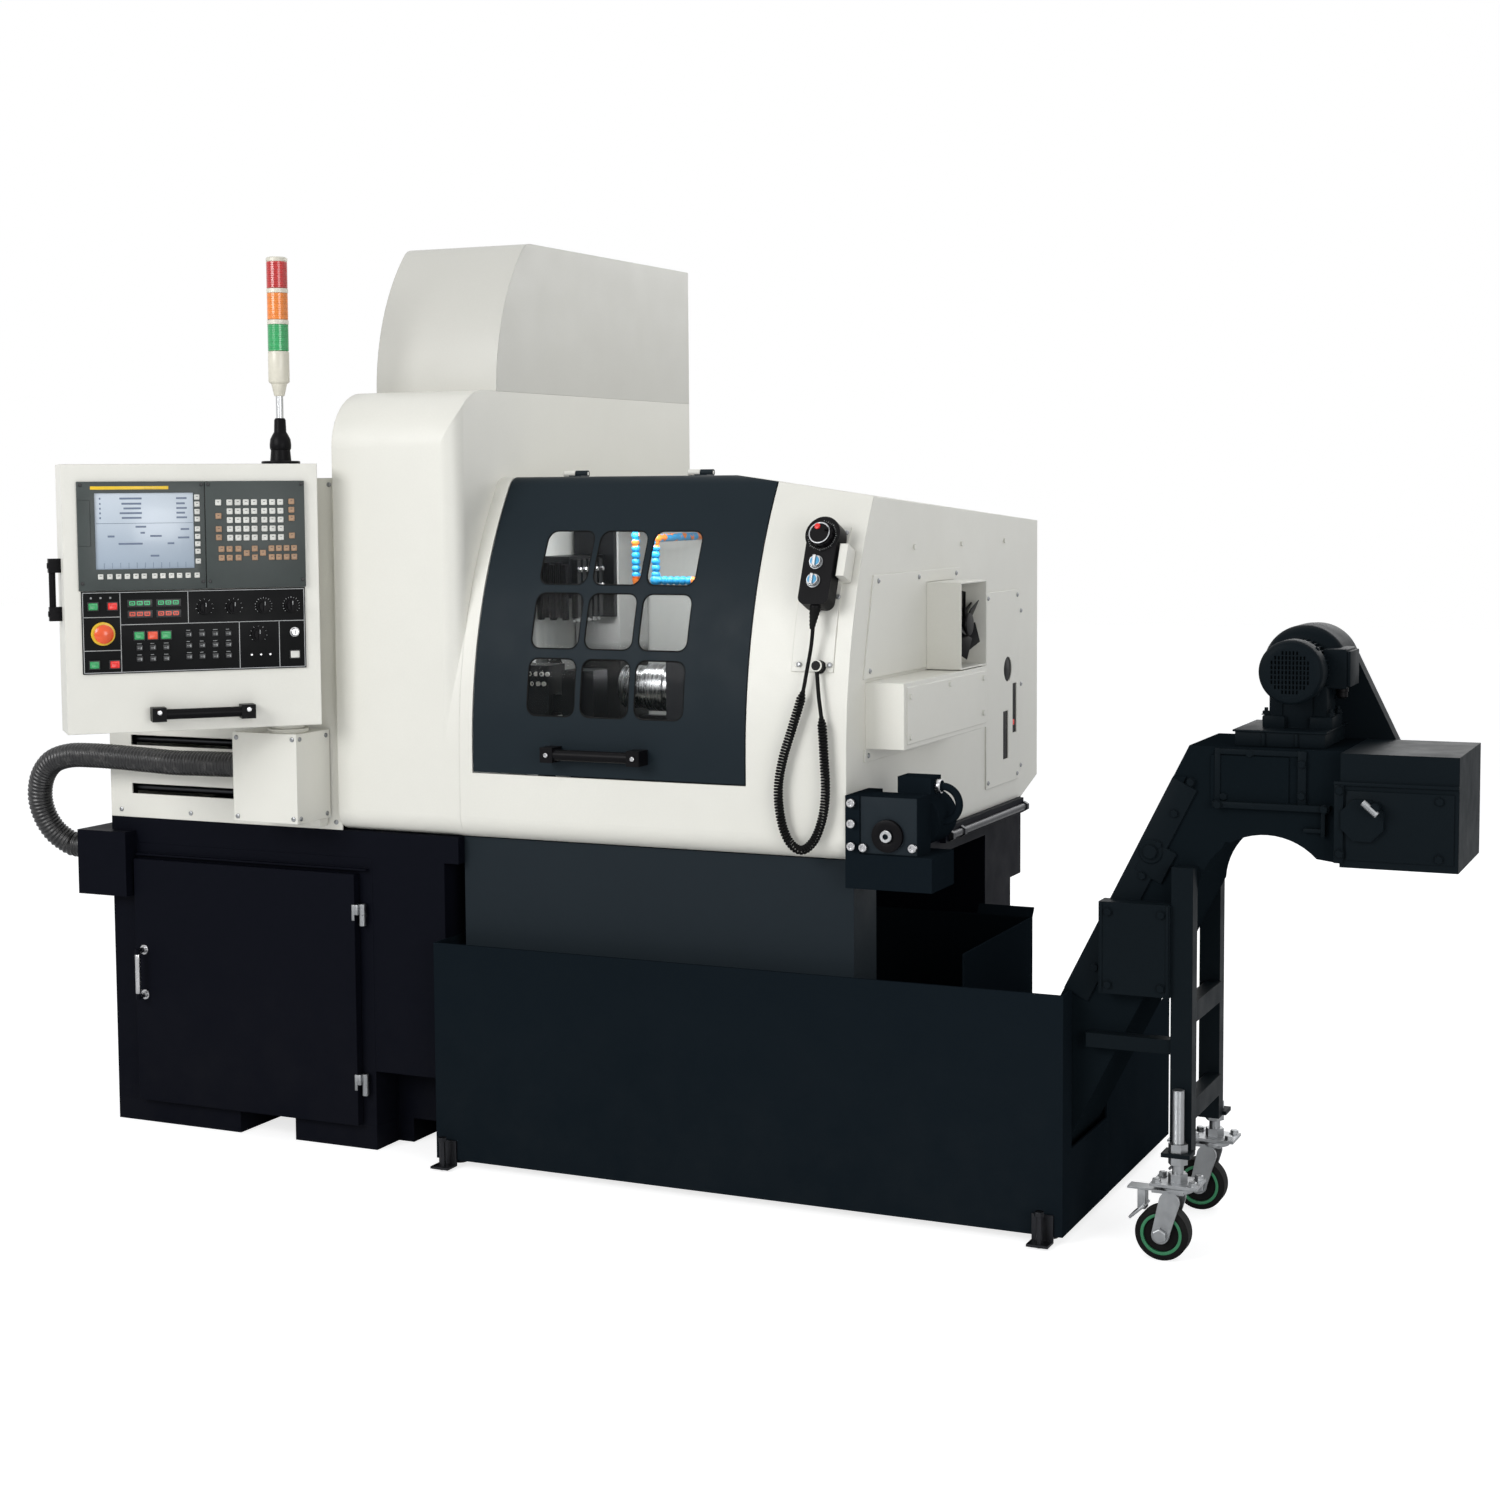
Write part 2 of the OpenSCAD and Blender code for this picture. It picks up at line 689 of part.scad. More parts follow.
module spindle_bed() color(grey_paint) placed() {
    head_way_x1 = column_x1 - 45;
    slab([liner_x0, spindle_y - bush_r, sill_h], [liner_x0 + sheet, spindle_y + bush_r, spindle_z - bush_r]);
    slab([bed_x0, bed_y0, sill_h], [bed_x1, bed_y1, bed_top]);
    slab([bed_x0, upright_front, bed_top], [bed_x0 + upright_w, bed_y1, upright_top]);
    for (y = [bed_y0 + 20, bed_y1 - 20 - way_w])
        slab([bed_x0 + upright_w, y, bed_top], [bed_x1, y + way_w, bed_top + way_h]);
    for (y = [spindle_y - 65, spindle_y + 40])
        slab([300, y, sill_h], [head_way_x1, y + way_w, sill_h + way_h]);
}

module guide_bush() color(bright_steel) placed() {
    flange_x = liner_x0 + sheet;
    bolts = 6;
    difference() {
        union() {
            rod_x([flange_x, spindle_y, spindle_z], 80, 7.5);
            rod_x([liner_x0 - 22, spindle_y, spindle_z], 40, 60);
            for (i = [0:bolts - 1]) rotate_about_spindle(360 * i / bolts)
                rod_x([flange_x + 7.5, spindle_y, spindle_z + 62], 7, 6);
        }
        rod_x([liner_x0 - 30, spindle_y, spindle_z], bar_r, 90);
    }
}

module rotate_about_spindle(a) {
    translate([0, spindle_y, spindle_z]) rotate([a, 0, 0]) translate([0, -spindle_y, -spindle_z]) children();
}

module tool_blocks() color(black_plastic) placed() {
    x0 = liner_x0 + sheet;
    y0 = spindle_y - 160;
    y1 = spindle_y - 85;
    screw_r = 6;
    slab([x0, y0, spindle_z - 60], [x0 + 98, y1, spindle_z + 55]);
    slab([x0 + 98, y0 + 20, spindle_z - 50], [x0 + 126, y1, spindle_z - 10]);
    slab([x0 + 126, y0 + 10, spindle_z - 75], [x0 + 206, y1, spindle_z + 45]);
    for (i = [0:3]) rod_y([x0 + 20 + i * 19, y0 - 5, spindle_z + 36], screw_r, 5);
    for (i = [0:2]) rod_y([x0 + 25 + i * 19, y0 - 5, spindle_z + 14], screw_r, 5);
}

// Segmented hose of n beads from the origin along +Z
module beads(n) {
    bead_r = 10;
    step = 15;
    rotate_extrude() intersection() {
        union() {
            square([6, n * step]);
            for (i = [0:n - 1]) translate([0, (i + 0.5) * step]) circle(bead_r);
        }
        square([bead_r, n * step]);
    }
}

module nozzle() {
    cylinder(h = 26, r1 = 10, r2 = 4);
}

module coolant_hoses() color(blue_plastic) placed() {
    first = [door_x0 + door_w * 215 / 648, spindle_y, roof_h - 110];
    second = [door_x0 + door_w * 275 / 648, spindle_y - 20, roof_h - 138];
    for (p = [first, second]) {
        rod_y(p, 9, liner_back - p.y);
        translate(p) sphere(13);
    }
    translate(first) rotate([180, 0, 0]) beads(8);
    translate(first - [0, 0, 120]) rotate([180, 0, 0]) nozzle();
    translate(second) rotate([180, 0, 0]) beads(6);
    translate(second - [0, 0, 95]) sphere(13);
    translate(second - [0, 0, 95]) rotate([0, 90, 0]) beads(6);
    translate(second + [90, 0, -95]) rotate([0, 90, 0]) nozzle();
}

// Hand-wheel unit on the right front strip
module at_wheel() {
    translate([wheel_x, front_at(wheel_z), wheel_z]) rotate([-wheel_tilt, 0, 0]) children();
}

module handwheel_plate() color(white_paint) placed() {
    plate_x0 = body_w - 126;
    plate_x1 = body_w - 34;
    plate_z0 = wheel_z - 202;
    plate_z1 = wheel_z + 90;
    screws = [[12, 14], [80, 14], [12, 278], [80, 278], [84, 150]];
    intersection() {
        along_x(plate_x0, plate_x1) difference() {
            translate([arc_cy, arc_z]) circle(arc_r + pad_t, $fn = 360);
            translate([arc_cy, arc_z]) circle(arc_r, $fn = 360);
        }
        slab([plate_x0, -60, plate_z0], [plate_x1, front_at(plate_z1) + 60, plate_z1]);
    }
    for (s = screws) translate([plate_x0 + s.x, front_at(plate_z0 + s.y), plate_z0 + s.y])
        rotate([-slope_at(plate_z0 + s.y), 0, 0]) rod_y([0, -pad_t - 3, 0], 5, 4);
    at_wheel() {
        slab([-18, -wheel_off, -25], [38, -pad_t + 0.5, 45]);
        slab([38, -wheel_off - 30, -25], [56, -pad_t + 0.5, 45]);
    }
    translate([wheel_x + 8, front_at(grommet_z), grommet_z]) rotate([-slope_at(grommet_z), 0, 0])
        rod_y([0, -26, 0], 12, 24);
}

module handwheel_body() color(black_plastic) placed() at_wheel() {
    half_w = 33;
    translate([0, -wheel_off, 0]) along_y(-wheel_t, 0) {
        translate([0, -6]) rounded(2 * half_w, 168, 16);
        translate([0, 62]) circle(38);
    }
    translate([0, -wheel_off - wheel_t / 2, -112]) cylinder(h = 24, r1 = 6, r2 = 13);
}

module handwheel_dial() color(black_plastic) placed() at_wheel() {
    face = -wheel_off - wheel_t;
    difference() {
        union() {
            rod_y([0, face - 14, 58], 27, 14 - knob_gap);
            rod_y([0, face - 17, 58], 22, 4);
            rod_y([14, face - 26, 66], 5, 12);
        }
        for (i = [0:11]) translate([0, 0, 58]) rotate([0, 30 * i, 0]) translate([0, 0, -58])
            rod_y([28.5, face - 20, 58], 3, 24);
    }
}

module selector(z) {
    face = -wheel_off - wheel_t;
    rod_y([-4, face - 10, z], 12, 10 - knob_gap);
    slab([-7, face - 16, z - 11], [-1, face - 9, z + 11]);
}

module selector_1() color(bright_steel) placed() at_wheel() {
    selector(0);
}

module selector_2() color(bright_steel) placed() at_wheel() {
    selector(-40);
}

// Covers on the right side
module side_covers() color(white_paint) placed() {
    plate_z0 = fan_z0 + 4;
    plate_z1 = fan_z0 + fan_h + 27;
    box_y0 = 90;
    box_y1 = 610;
    box_z0 = fan_z0 - 139;
    box_out = 86;
    hatch = [[851, sill_h + 47], [1096, roof_h - 276]];
    hatch_h = hatch[1].y - hatch[0].y;
    translate([body_w, 0, 0]) along_x(0, pad_t) difference() {
        polygon([[77, plate_z0], [659, plate_z0], [659, plate_z1], [135, plate_z1]]);
        translate([fan_y0 - 1, plate_z0 - 10]) square([fan_w + 2, fan_z0 + fan_h - plate_z0 + 11]);
    }
    slab([body_w, box_y0 - 8, box_z0 - 28], [body_w + pad_t, box_y0 + 430, box_z0]);
    slab([body_w, box_y0, box_z0], [body_w + box_out, box_y1, fan_z0 - 2]);
    slab([body_w + box_out, box_y0 + 14, box_z0 + 10], [body_w + box_out + 2, box_y1 - 8, fan_z0 - 12]);
    for (s = [[30, 24], [30, 108], [270, 116], [490, 112], [490, 34]])
        rod_x([body_w + box_out + 2, box_y0 + s.x, box_z0 + s.y], 6, 4);
    for (i = [0:2]) rod_x([body_w, 378 + 306 * i, roof_h - 157], 6, 4);
    translate([body_w, 0, 0]) along_x(0, pad_t) difference() {
        translate(hatch[0]) square(hatch[1] - hatch[0]);
        translate([1011, hatch[0].y + hatch_h * 0.59]) circle(30);
        translate([1048, hatch[0].y + hatch_h / 4]) square([30, hatch_h * 0.26]);
        translate([976, hatch[0].y + hatch_h / 8]) square([38, hatch_h / 4]);
    }
}

module fan_duct() color(white_paint) placed() {
    wall = 3;
    spokes = 3;
    motor_l = 20;
    x1 = body_w + fan_out;
    difference() {
        slab([body_w, fan_y0, fan_z0], [x1, fan_y0 + fan_w, fan_z0 + fan_h]);
        slab([body_w - 1, fan_y0 + wall, fan_z0 + wall],
            [x1 + 1, fan_y0 + fan_w - wall, fan_z0 + fan_h - wall]);
    }
    difference() {
        slab([body_w, fan_y0 + wall, fan_z0 + wall], [body_w + 3, fan_y0 + fan_w - wall, fan_z0 + fan_h - wall]);
        rod_x([body_w - 1, fan_y, fan_z], fan_r + 2, 5);
    }
    for (i = [0:spokes - 1]) translate([body_w, fan_y, fan_z]) rotate([360 * i / spokes, 0, 0])
        slab([0, -4, 0], [3, 4, fan_r + 4]);
    rod_x([body_w, fan_y, fan_z], 24, motor_l);
    rod_x([body_w, fan_y, fan_z], 5, fan_x - body_w + 12);
}

module fan_rotor() color(black_plastic) placed() {
    blades = 5;
    hub_r = 25;
    hub_l = 22;
    pitch = 32;
    translate([fan_x - 15, fan_y, fan_z]) difference() {
        union() {
            rotate([0, 90, 0]) cylinder(h = hub_l, r = hub_r);
            for (i = [0:blades - 1]) rotate([360 * i / blades, 0, 0]) intersection() {
                translate([hub_l / 2, 0, 0]) rotate([0, 0, pitch]) slab([-2, -30, 10], [2, 30, fan_r]);
                rotate([0, 90, 0]) translate([0, 0, -10]) cylinder(h = hub_l + 20, r = fan_r - 2);
            }
        }
        rod_x([-20, 0, 0], 5 + fit, 60);
    }
}

// Parts-conveyor drive beside the enclosure
module feeder_drive() color(black_paint) placed() {
    z0 = sill_h + 21;
    axis = [body_w + 92, 0, z0 + 40];
    motor = [body_w + 116, 60, z0 + 62];
    box_top = z0 + 151;
    slab([body_w, -20, sill_h - 50], [body_w + 31, 110, z0 + 118]);
    slab([body_w + 31, -20, sill_h - 50], [body_w + 186, 110, z0]);
    slab([body_w + 31, -15, z0], [body_w + 154, 60, z0 + 118]);
    rod_y([axis.x, -25, axis.z], 32, 10);
    rod_y([axis.x, -31, axis.z], 12, 6);
    for (s = [[16, 16], [16, 62], [16, 104]]) rod_y([body_w + s.x, -26, z0 + s.y], 8, 6);
    for (s = [[40, 14], [146, 18]]) rod_y([body_w + s.x, -21, z0 + s.y], 8, 6);
    rod_y(motor, 56, 110);
    slab([motor.x - 34, 62, motor.z + 40], [motor.x + 38, 122, box_top]);
    rod_x([motor.x + 38, 92, box_top - 20], 12, 14);
    translate([motor.x + 52, 92, box_top - 56]) rotate([90, 0, 0]) rotate([0, 0, -90])
        rotate_extrude(angle = 180) translate([36, 0]) circle(8);
    rod_x([motor.x + 10, 92, box_top - 92], 8, 42);
}

module apron() color(apron_paint) placed() {
    slab([apron_x0, deck_front - sheet, tank_top - 70], [body_w, deck_front, sill_h - 1]);
    slab([body_w - sheet, deck_front, tank_top - 70], [body_w, deck_front + 120, deck_z0]);
}

// Tank and conveyor
module tank() color(tank_paint) placed() {
    y0 = -50;
    y1 = y0 + tank_d;
    notch_z = 180;
    low_wall = tank_top - 90;
    difference() {
        union() {
            slab([tank_x0, y0, tank_clear], [tank_rear_x1, y1, tank_top]);
            slab([tank_x0, y0, tank_clear], [tank_x1, bay_y1, tank_top]);
        }
        slab([tank_x0 + tank_t, y0 + tank_t, tank_clear + tank_t],
            [tank_rear_x1 - tank_t, y1 - tank_t, tank_top + 1]);
        slab([tank_x0 + tank_t, y0 + tank_t, tank_clear + tank_t],
            [tank_x1 - tank_t, bay_y1 - tank_t, tank_top + 1]);
        slab([tank_rear_x1, bay_y1 - tank_t - 1, low_wall], [tank_x1 + 1, bay_y1 + 1, tank_top + 1]);
        slab([tank_x1 - tank_t - 1, conveyor_y0 - 6, notch_z], [tank_x1 + 1, conveyor_y1 + 6, tank_top + 1]);
    }
    translate([0, y1 - tank_t, tank_top]) along_x(tank_rear_x1 - 133, tank_rear_x1)
        polygon([[0, 0], [tank_t, 0], [tank_t + 14, 20], [tank_t + 9, 22]]);
}

// Side view of the conveyor, drawn in by i
module conveyor_outline(i) {
    z0 = trough_z0 + i;
    z1 = trough_z0 + trough_h - i;
    in_x = i / sin(incline);
    difference() {
        polygon([[trough_x0 + i, z0], [lower_x(z0) - in_x, z0],
            [lower_x(head_low + 30) - in_x, head_low + 30],
            [head_x1 - (i > 0 ? -1 : 0), head_low + i], [head_x1 + (i > 0 ? 1 : 0), head_top - i],
            [upper_x(head_top) + i * tan(90 - incline / 2) * 0.5 + in_x * 0.5, head_top - i],
            [upper_x(z1) + in_x, z1], [trough_x0 + i, z1]]);
        translate([arch_x, arch_z]) circle(arch_r + i);
    }
}

module conveyor_trough() color(black_paint) placed() {
    flange_w = 26;
    inner_y0 = conveyor_y0 + plate_t;
    inner_y1 = conveyor_y1 - plate_t;
    difference() {
        along_y(conveyor_y0, conveyor_y1) conveyor_outline(0);
        along_y(inner_y0, inner_y1) conveyor_outline(plate_t);
        slab([trough_x0 + plate_t, inner_y0, trough_z0 + trough_h - plate_t - 1],
            [upper_x(trough_z0 + trough_h) - 20, inner_y1, trough_z0 + trough_h + 1]);
    }
    for (x = [trough_x0 + 60, tank_x1 - 340])
        slab([x, conveyor_y0, tank_clear + tank_t], [x + 60, conveyor_y1, trough_z0]);
    for (y = [conveyor_y0 - 3, conveyor_y1]) along_y(y, y + 3) {
        polygon([[upper_x(tank_top + 8), tank_top + 8], [upper_x(tank_top + 8) + flange_w, tank_top + 8],
            [upper_x(head_top - 60) + flange_w, head_top - 60], [upper_x(head_top - 60), head_top - 60]]);
        translate([head_x0 + 42, head_top - 112]) square([148, 96]);
    }
}

// Slats with hinge knuckles along the trough
module conveyor_belt() color(zinc) placed() {
    belt_z = 150;
    slat_t = 3;
    knuckle_r = 6;
    side = 4;
    y0 = conveyor_y0 + plate_t + side;
    l = conveyor_w - 2 * side;
    x0 = trough_x0 + 30;
    count = floor((upper_x(belt_z) - 40 - x0) / slat_pitch);
    for (i = [0:count - 1]) {
        x = x0 + i * slat_pitch;
        rod_y([x, y0, belt_z], knuckle_r, l);
        slab([x, y0, belt_z - slat_t / 2], [x + slat_pitch, y0 + l, belt_z + slat_t / 2]);
        for (e = [y0, y0 + l - 3]) slab([x + 8, e, belt_z], [x + slat_pitch - 8, e + 3, belt_z + 11]);
    }
    rod_y([x0 + count * slat_pitch, y0, belt_z], knuckle_r, l);
    for (x = [x0 + slat_pitch / 2, x0 + (count - 0.5) * slat_pitch], y = [y0 + 20, y0 + l - 40])
        slab([x - 12, y, trough_z0 + plate_t], [x + 12, y + 20, belt_z - slat_t / 2]);
}

module conveyor_head() color(black_paint) placed() {
    t = plate_t;
    y0 = conveyor_y0 - 38;
    y1 = conveyor_y1;
    lid = 57;
    bearing_r = 34;
    difference() {
        slab([head_x1, y0, head_low], [head_end, y1, head_top]);
        slab([head_x1 - 1, conveyor_y0 + t, head_low - 1], [head_end - t, y1 - t, head_top - t]);
        slab([head_x1 - 1, y0 - 1, head_top - lid - 2], [head_end + 1, y0 + 2, head_top - lid + 2]);
    }
    translate([shaft_x, y0, head_low + 90]) rotate([90, 22.5, 0]) cylinder(h = 12, r = bearing_r + 8, $fn = 8);
    rod_y([shaft_x + 26, y0 - 34, head_low + 118], 8, 34);
}

module conveyor_frame() color(black_paint) placed() {
    bar = 30;
    front = conveyor_y0 - post_d;
    post_top = 756;
    rear_x0 = post_x0 - 12;
    slab([post_x0, front, post_low], [post_x0 + post, conveyor_y0, post_top]);
    slab([rear_x0, conveyor_y1, post_low], [rear_x0 + post, conveyor_y1 + post_d, post_top - 20]);
    for (z = [post_low + 45, post_low + 235])
        slab([post_x0 + 4, conveyor_y0, z], [post_x0 + 4 + bar, conveyor_y1, z + 40]);
    slab([lower_x(400) - 60, conveyor_y0 - bar, 392], [post_x0, conveyor_y0, 420]);
    slab([post_x0 - 140, front - 10, 504], [post_x0, conveyor_y0 - 3, 683]);
    for (c = casters) difference() {
        slab([c.x - 28, min(c.y - 22, c.y), post_low - 8],
            [c.x + 28, max(c.y + 22, c.y), post_low]);
        rod_z([c.x, c.y, post_low - 9], rod_r + 0.3, 10);
    }
    slab([post_x0, front, post_low - 8], [post_x0 + post, conveyor_y0, post_low]);
    slab([rear_x0, conveyor_y1, post_low - 8], [rear_x0 + post, conveyor_y1 + post_d, post_low]);
}

module conveyor_motor() color(black_paint) placed() {
    fins = 36;
    cover_l = 52;
    cover_r = motor_r + 4;
    plinth = 46;
    grille_slots = 5;
    difference() {
        rod_y([motor_x, motor_y0, motor_z], cover_r, cover_l);
        for (i = [-grille_slots:grille_slots])
            slab([motor_x - sqrt(38 * 38 - 49 * i * i), motor_y0 - 1, motor_z + 7 * i - 1.5],
                [motor_x + sqrt(38 * 38 - 49 * i * i), motor_y0 + 4, motor_z + 7 * i + 1.5]);
    }
    along_y(motor_y0 + cover_l, motor_y1 - 60) translate([motor_x, motor_z]) {
        circle(motor_r - 5);
        for (i = [0:fins - 1]) rotate(360 * i / fins) translate([-1.5, 0]) square([3, motor_r]);
    }
    rod_y([motor_x, motor_y1 - 60, motor_z], motor_r, 60);
    slab([motor_x + motor_r - 16, motor_y0 + 90, motor_z - 36], [motor_x + motor_r + 34, motor_y0 + 190, motor_z + 40]);
    slab([motor_x - 64, motor_y0 + 70, head_top + plinth], [motor_x + 64, motor_y1 - 60, motor_z - 30]);
    slab([motor_x - 101, motor_y0 + 20, head_top], [motor_x + 72, motor_y1 - 10, head_top + plinth]);
}

module chain_guard() color(black_paint) placed() {
    guard_t = 42;
    along_y(conveyor_y1, conveyor_y1 + guard_t)
        belt_outline([motor_x, motor_z], 80, [shaft_x, shaft_z], 55);
}

// Casters
module caster_stem(c) {
    plate = [92, 72, 6];
    plate_z = 2 * wheel_r + 44;
    rod_z([c.x, c.y, plate_z + plate.z], rod_r, 330 - plate_z - plate.z);
    slab([c.x - plate.x / 2, c.y - plate.y / 2, plate_z], [c.x + plate.x / 2, c.y + plate.y / 2, plate_z + plate.z]);
    for (z = [plate_z + plate.z, post_low - 24, post_low])
        translate([c.x, c.y, z]) cylinder(h = 16, r = 19, $fn = 6);
    rod_z([c.x, c.y, plate_z - 18], 7, 18);
}

module caster_stems() color(zinc) placed() {
    for (c = casters) caster_stem(c);
}

module caster_fork(c) {
    crown_z = 2 * wheel_r + 44;
    cheek_t = 5;
    inner = 23;
    difference() {
        union() {
            rod_z([c.x, c.y, crown_z - 12], 30, 11.7);
            slab([c.x - 44, c.y - inner - cheek_t, crown_z - 14], [c.x + 18, c.y + inner + cheek_t, crown_z - 8]);
        }
        rod_z([c.x, c.y, crown_z - 30], 7 + fit, 40);
    }
    for (s = [-1, 1]) along_y(c.y + (s > 0 ? inner : -inner - cheek_t), c.y + (s > 0 ? inner + cheek_t : -inner))
        belt_outline([c.x - 10, crown_z - 30], 20, [c.x - caster_trail, wheel_r], 17);
    rod_y([c.x - caster_trail, c.y - inner - cheek_t - 5, wheel_r], 8, 2 * (inner + cheek_t + 5));
    slab([c.x - 95, c.y - 16, crown_z - 14], [c.x - 40, c.y + 16, crown_z - 10]);
}

module caster_fork_1() color(zinc) placed() {
    caster_fork(casters[0]);
}

module caster_fork_2() color(zinc) placed() {
    caster_fork(casters[1]);
}

module caster_wheel(c) {
    half = 21;
    tread = 8;
    translate([c.x - caster_trail, c.y, wheel_r]) rotate([90, 0, 0]) rotate_extrude() {
        difference() {
            translate([8 + fit, -half]) square([wheel_r - 8 - fit, 2 * half]);
            for (s = [0, 1]) mirror([0, s]) translate([18, half - 5]) square([wheel_r - 18 - 12, 10]);
            for (s = [0, 1]) mirror([0, s]) translate([wheel_r - tread, half]) rotate(-30) square([20, 20]);
        }
    }
}

module caster_wheel_1() color(black_plastic) placed() {
    caster_wheel(casters[0]);
}

module caster_wheel_2() color(black_plastic) placed() {
    caster_wheel(casters[1]);
}

// Control pendant
module carriage() color(white_paint) placed() {
    arm_h = slot_h - 8;
    shoe = 16;
    slab([carriage_x0, carriage_y0, carriage_low], [carriage_x1, carriage_y1, carriage_top]);
    for (x = shoe_xs, z = [slot_low, slot_high]) difference() {
        union() {
            slab([x, carriage_y1, z - arm_h / 2], [x + shoe_l, rail_y, z + arm_h / 2]);
            slab([x, sheet + 2, z - shoe], [x + shoe_l, rail_y + 14, z + shoe]);
        }
        rod_x([x - 1, rail_y, z], rail_r + fit, shoe_l + 2);
    }
    rod_z([swivel.x, swivel.y, carriage_top], 45, 8);
    rod_z([swivel.x, swivel.y, carriage_top], swivel_r, pendant_low - carriage_top + 30);
    slab([carriage_x1 - 36, carriage_y1 - 30, carriage_low - 18], [carriage_x1 - 8, carriage_y1, carriage_low]);
}

module at_pendant() {
    translate([swivel.x, swivel.y, 0]) rotate([0, 0, pendant_yaw]) children();
}

module pendant_box() color(white_paint) placed() at_pendant() {
    wall = 3;
    back = pendant_face + pendant_d;
    boss_r = 36;
    difference() {
        union() {
            difference() {
                slab([pendant_x0, pendant_face, pendant_low], [pendant_x1, back, pendant_top]);
                slab([pendant_x0 + wall, pendant_face + wall, pendant_low + wall],
                    [pendant_x1 - wall, back - wall, pendant_top - wall]);
            }
            rod_z([0, 0, carriage_top + 8.3], boss_r, pendant_low - carriage_top + 26);
        }
        rod_z([0, 0, carriage_top], swivel_r + fit, pendant_low - carriage_top + 40);
    }
}

module key_row(p, n, pitch, size, h) {
    for (i = [0:n - 1]) slab([p.x + i * pitch - size / 2, -h, p.y - size / 2], [p.x + i * pitch + size / 2, 0, p.y + size / 2]);
}

module display_unit() color(panel_grey) placed() at_pendant()
    translate([display_x0, pendant_face, display_z0]) {
    screen = [37, 36, 240, 195];
    split = 266;
    key = 11;
    difference() {
        slab([0, -display_t, 0], [display_w, 0, display_h]);
        slab([screen[0], -display_t - 1, screen[1]], [screen[2], -display_t + 3, screen[3]]);
        slab([split - 1, -display_t - 1, -1], [split + 1, -display_t + 2, display_h + 1]);
    }
    translate([0, -display_t, 0]) {
        key_row([40, 20], 6, 18, key, 3);
        key_row([153, 20], 6, 18, key, 3);
        for (i = [0:8]) key_row([250, 46 + 17 * i], 1, 0, key, 3);
        for (i = [0:4]) {
            key_row([310, 100 + 19 * i], 4, 18, key, 3);
            key_row([388, 100 + 19 * i], 3, 18, key, 3);
        }
        for (z = [50, 70]) {
            key_row([290, z], 3, 18, key, 3);
            key_row([344, z], 3, 17, key, 3);
            key_row([398, z], 4, 17, key, 3);
        }
        for (z = [100, 119, 147, 176]) key_row([290, z], 1, 0, key, 3);
        for (z = [100, 138, 157, 176]) key_row([450, z], 1, 0, key, 3);
    }
}

module operator_panel() color(black_plastic) placed() at_pendant()
    translate([display_x0 + 4, pendant_face, panel_z0]) {
    key = 12;
    button = 17;
    difference() {
        union() {
            slab([0, -panel_t, 0], [panel_w, 0, panel_h]);
            rod_y([stop_place.x, -panel_t - stop_ring, stop_place.y], 25, stop_ring);
        }
        rod_y([stop_place.x, -panel_t - stop_ring - 1, stop_place.y], stop_stem_r + fit, panel_t + stop_ring);
    }
    translate([0, -panel_t, 0]) {
        for (p = [[24, 144], [64, 144], [24, 22], [64, 22]]) key_row(p, 1, 0, button, 6);
        key_row([118, 82], 3, 28, button, 4);
        for (z = [30, 52]) key_row([118, z], 3, 28, key, 3);
        for (z = [30, 56, 82]) key_row([220, z], 4, 28, key, 3);
        for (z = [126, 148]) slab([100, -2, z - 6], [212, 0, z + 6]);
        key_row([449, 26], 1, 0, button, 5);
        rod_y([449, -10, 79], 8, 10);
        for (x = [360, 375, 390]) rod_y([x, -5, 30], 3, 5);
    }
}

module stop_button() color(stop_red) placed() at_pendant()
    translate([display_x0 + 4 + stop_place.x, pendant_face - panel_t - stop_ring, panel_z0 + stop_place.y]) {
    head_r = 20;
    head_h = 14;
    rise = stop_travel + 1;
    rotate([90, 0, 0]) rotate_extrude() {
        translate([0, -3]) square([stop_stem_r, rise + 4]);
        intersection() {
            union() {
                translate([0, rise]) square([head_r, head_h - 6]);
                translate([0, rise + head_h - 36]) circle(36);
            }
            translate([0, rise]) square([head_r, head_h]);
        }
    }
}

module knob(i) {
    at_pendant() translate([display_x0 + 4 + knob_places[i].x, pendant_face - panel_t, panel_z0 + knob_places[i].y]) {
        rod_y([0, -7, 0], knob_r + 4, 7 - knob_gap);
        rod_y([0, -knob_h, 0], knob_r, knob_h - 6);
        slab([-3, -knob_h - 4, -knob_r], [3, -knob_h + 1, knob_r]);
    }
}

module knob_1() color(black_plastic) placed() knob(0);

module knob_2() color(black_plastic) placed() knob(1);

module knob_3() color(black_plastic) placed() knob(2);

module knob_4() color(black_plastic) placed() knob(3);

module knob_5() color(black_plastic) placed() knob(4);

// Bar handle of length l along X, standing off the plane Y 0 towards -Y
module bar_handle(l, out, r) {
    foot = 30;
    for (s = [-1, 1]) {
        slab([s * (l / 2 - foot / 2) - foot / 2, -out, -r - 4], [s * (l / 2 - foot / 2) + foot / 2, 0, r + 4]);
        rod_y([s * (l / 2 - foot / 2), -out - 2, 0], 6, 3);
    }
    rod_x([-l / 2 + foot / 2, -out + r + 1, 0], r, l - foot);
}

module pendant_handles() color(black_plastic) placed() at_pendant() {
    translate([display_x0 + 251, pendant_face, pendant_low + 38]) bar_handle(219, 36, 11);
    translate([pendant_x0, pendant_face + pendant_d / 2, pendant_low + 306]) rotate([0, 0, -90])
        rotate([0, 90, 0]) bar_handle(133, 26, 7);
}

